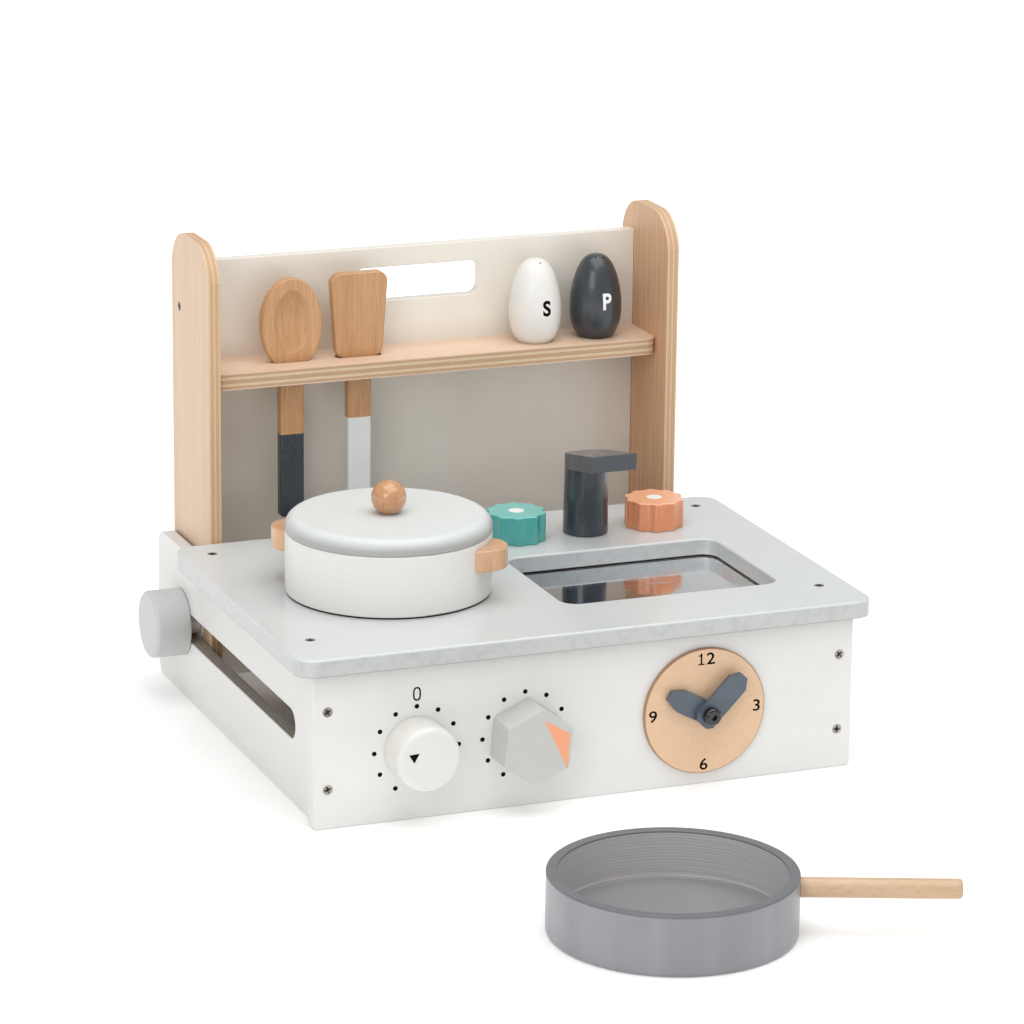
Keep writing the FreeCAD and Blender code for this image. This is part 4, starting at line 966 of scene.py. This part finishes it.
def eggMesh(axisPlace):
    # turned on its own axis, flat at the foot, blunter at the top than the frame's egg
    build = bmesh.new()
    look = eggLook
    whole = look["height"] + look["footCut"]
    start = math.acos(1 - 2 * look["footCut"] / whole)
    rows = []
    for level in range(look["levels"]):
        turn = start + (math.pi - start) * level / look["levels"]
        height = whole * (1 - math.cos(turn)) / 2 - look["footCut"]
        radius = eggRadius(height)
        rows.append([build.verts.new((axisPlace[0] + radius * math.cos(2 * math.pi * step / look["steps"]),
                                      axisPlace[1] + radius * math.sin(2 * math.pi * step / look["steps"]),
                                      look["foot"] + height)) for step in range(look["steps"])])
    for lower, upper in zip(rows, rows[1:]):
        for step in range(look["steps"]):
            after = (step + 1) % look["steps"]
            build.faces.new((lower[step], lower[after], upper[after], upper[step])).smooth = True
    tip = build.verts.new((*axisPlace, look["foot"] + look["height"]))
    for step in range(look["steps"]):
        build.faces.new((rows[-1][step], rows[-1][(step + 1) % look["steps"]], tip)).smooth = True
    build.faces.new(rows[0][::-1])
    for edge in build.edges:
        edge.smooth = not all(vertex in rows[0] for vertex in edge.verts)
    bmesh.ops.recalc_face_normals(build, faces=build.faces)
    mesh = bpy.data.meshes.new("egg")
    build.to_mesh(mesh)
    build.free()
    return mesh


def eggPoint(axisPlace, angle, reach):
    # the point of the egg's top at a distance from its axis, and the way out of the surface there
    height = eggLook["height"]
    while eggRadius(height) < reach:
        height -= 0.00002
    slope = (eggRadius(height - 0.0002) - eggRadius(height)) / 0.0002
    outward = Vector((math.sin(angle), -math.cos(angle), slope)).normalized()
    place = Vector((axisPlace[0] + reach * math.sin(angle), axisPlace[1] - reach * math.cos(angle),
                    eggLook["foot"] + height))
    return place, outward


holes = holeShadeTree()
shakers = [
    {"name": "salt", "axis": (0.0836, 0.30825), "letter": "S", "weight": 0.033, "tall": 0.0117, "wide": 0.92, "angle": 6, "height": 0.0280,
     "finish": "blackPrint", "slot": "black_steel", "holes": [(4, 0.0078)],
     "paint": "whiteWoodPaint", "paintSlot": "white_wood"},
    {"name": "pepper", "axis": (0.1319, 0.30825), "letter": "P", "weight": 0.028, "tall": 0.0123, "wide": 0.86, "angle": 5, "height": 0.0295,
     "finish": "whitePrint", "slot": "white_wood", "holes": [(-27, 0.0067), (24, 0.0074), (160, 0.005)],
     "paint": "pepperPaint", "paintSlot": "slate_wood"},
]
for look in shakers:
    keep(look["name"] + "_egg", eggMesh(look["axis"]), look["name"], look["paint"],
         (look["name"] + "_shaker",))
    letter = gridded(flatText(look["letter"], look["tall"], look["weight"], look["wide"]), 0.0005)
    letter = onEgg(letter, look["axis"], math.radians(look["angle"]), look["height"], 0.00008)
    keep(look["name"] + "_letter", letter, look["name"], look["finish"])
    pierced = [eggPoint(look["axis"], math.radians(turn), reach) for turn, reach in look["holes"]]
    mesh = grown(look["name"] + "Holes", holes, pointCloud(pierced), {"Material": materials["blackPrint"]})
    keep(look["name"] + "_holes", mesh, look["name"], "blackPrint")
print("shakers finished")


# Floor, light and camera

def floorPaper(place, look):
    # pale paper that gives off light, more of it further out and none under the cabinet
    distance = place.add("ShaderNodeVectorMath", {"operation": "LENGTH"}, {0: place}, out=1)
    x, y = axisOf(place, 0), axisOf(place, 1)
    under = (abs(x) < look["footprint"][0]) * (abs(y - look["footprint"][1]) < look["footprint"][1])
    glow = remapped(distance, *look["glowRange"], *look["glow"]) * (1 - under)
    return dict(plastic(place, look), **{"Emission Color": glow})


floorLook = {"size": 16.0, "footprint": (0.19, 0.18), "glowRange": (0.3, 1.8), "glow": (0.12, 0.6),
             "paper": plasticLook(fromScreen(250, 250, 249), fromScreen(247, 247, 246), 0.8, 30, 0.02)}
floorMesh = bpy.data.meshes.new("floor")
half = floorLook["size"] / 2
floorMesh.from_pydata([(-half, -half, -0.0002), (half, -half, -0.0002), (half, half, -0.0002), (-half, half, -0.0002)],
                      [], [(0, 1, 2, 3)])
materials["floorPaper"] = material("floorPaper", floorPaper, dict(floorLook["paper"], **floorLook), Emission_Strength=1.0)
floorMesh.materials.append(materials["floorPaper"])
floor = bpy.data.objects.new("floor", floorMesh)
bpy.context.scene.collection.objects.link(floor)

lightLook = {"world": 0.57, "lamps": [
    ("overhead", (0.1, -0.2, 2.2), (0, 0.15, 0.1), 2.4, 40.0),
    ("frontLeft", (-1.9, -1.9, 1.5), (0, 0.1, 0.15), 1.4, 19.0),
]}
world = bpy.data.worlds.new("studio")
world.use_nodes = True
world.node_tree.nodes["Background"].inputs["Color"].default_value = (1, 1, 1, 1)
world.node_tree.nodes["Background"].inputs["Strength"].default_value = lightLook["world"]
bpy.context.scene.world = world
for name, place, aim, size, power in lightLook["lamps"]:
    lamp = bpy.data.lights.new(name, "AREA")
    lamp.size = size
    lamp.energy = power
    holder = bpy.data.objects.new(name, lamp)
    holder.location = place
    holder.rotation_euler = (Vector(aim) - Vector(place)).to_track_quat("-Z", "Y").to_euler()
    bpy.context.scene.collection.objects.link(holder)
bpy.context.scene.view_settings.view_transform = "Standard"

cameraLook = {"azimuth": 21.711, "elevation": 16.051, "distance": 3.09874, "roll": 0.673, "lens": 155.95,
              "target": (-0.005229, 0.126, 0.167276)}
turn = math.radians(cameraLook["azimuth"])
lift = math.radians(cameraLook["elevation"])
roll = math.radians(cameraLook["roll"])
right = Vector((math.cos(turn), -math.sin(turn), 0))
back = Vector((-math.sin(turn) * math.cos(lift), -math.cos(turn) * math.cos(lift), math.sin(lift)))
up = back.cross(right)
rolledRight = right * math.cos(roll) + up * math.sin(roll)
rolledUp = up * math.cos(roll) - right * math.sin(roll)
eye = Vector(cameraLook["target"]) + back * cameraLook["distance"]
camera = bpy.data.objects.new("camera", bpy.data.cameras.new("camera"))
camera.data.lens = cameraLook["lens"]
camera.data.sensor_width = 36.0
camera.data.clip_start = 0.1
camera.data.clip_end = 40.0
camera.matrix_world = Matrix((
    (rolledRight.x, rolledUp.x, back.x, eye.x),
    (rolledRight.y, rolledUp.y, back.y, eye.y),
    (rolledRight.z, rolledUp.z, back.z, eye.z),
    (0, 0, 0, 1)))
bpy.context.scene.collection.objects.link(camera)
bpy.context.scene.camera = camera
print("studio set")
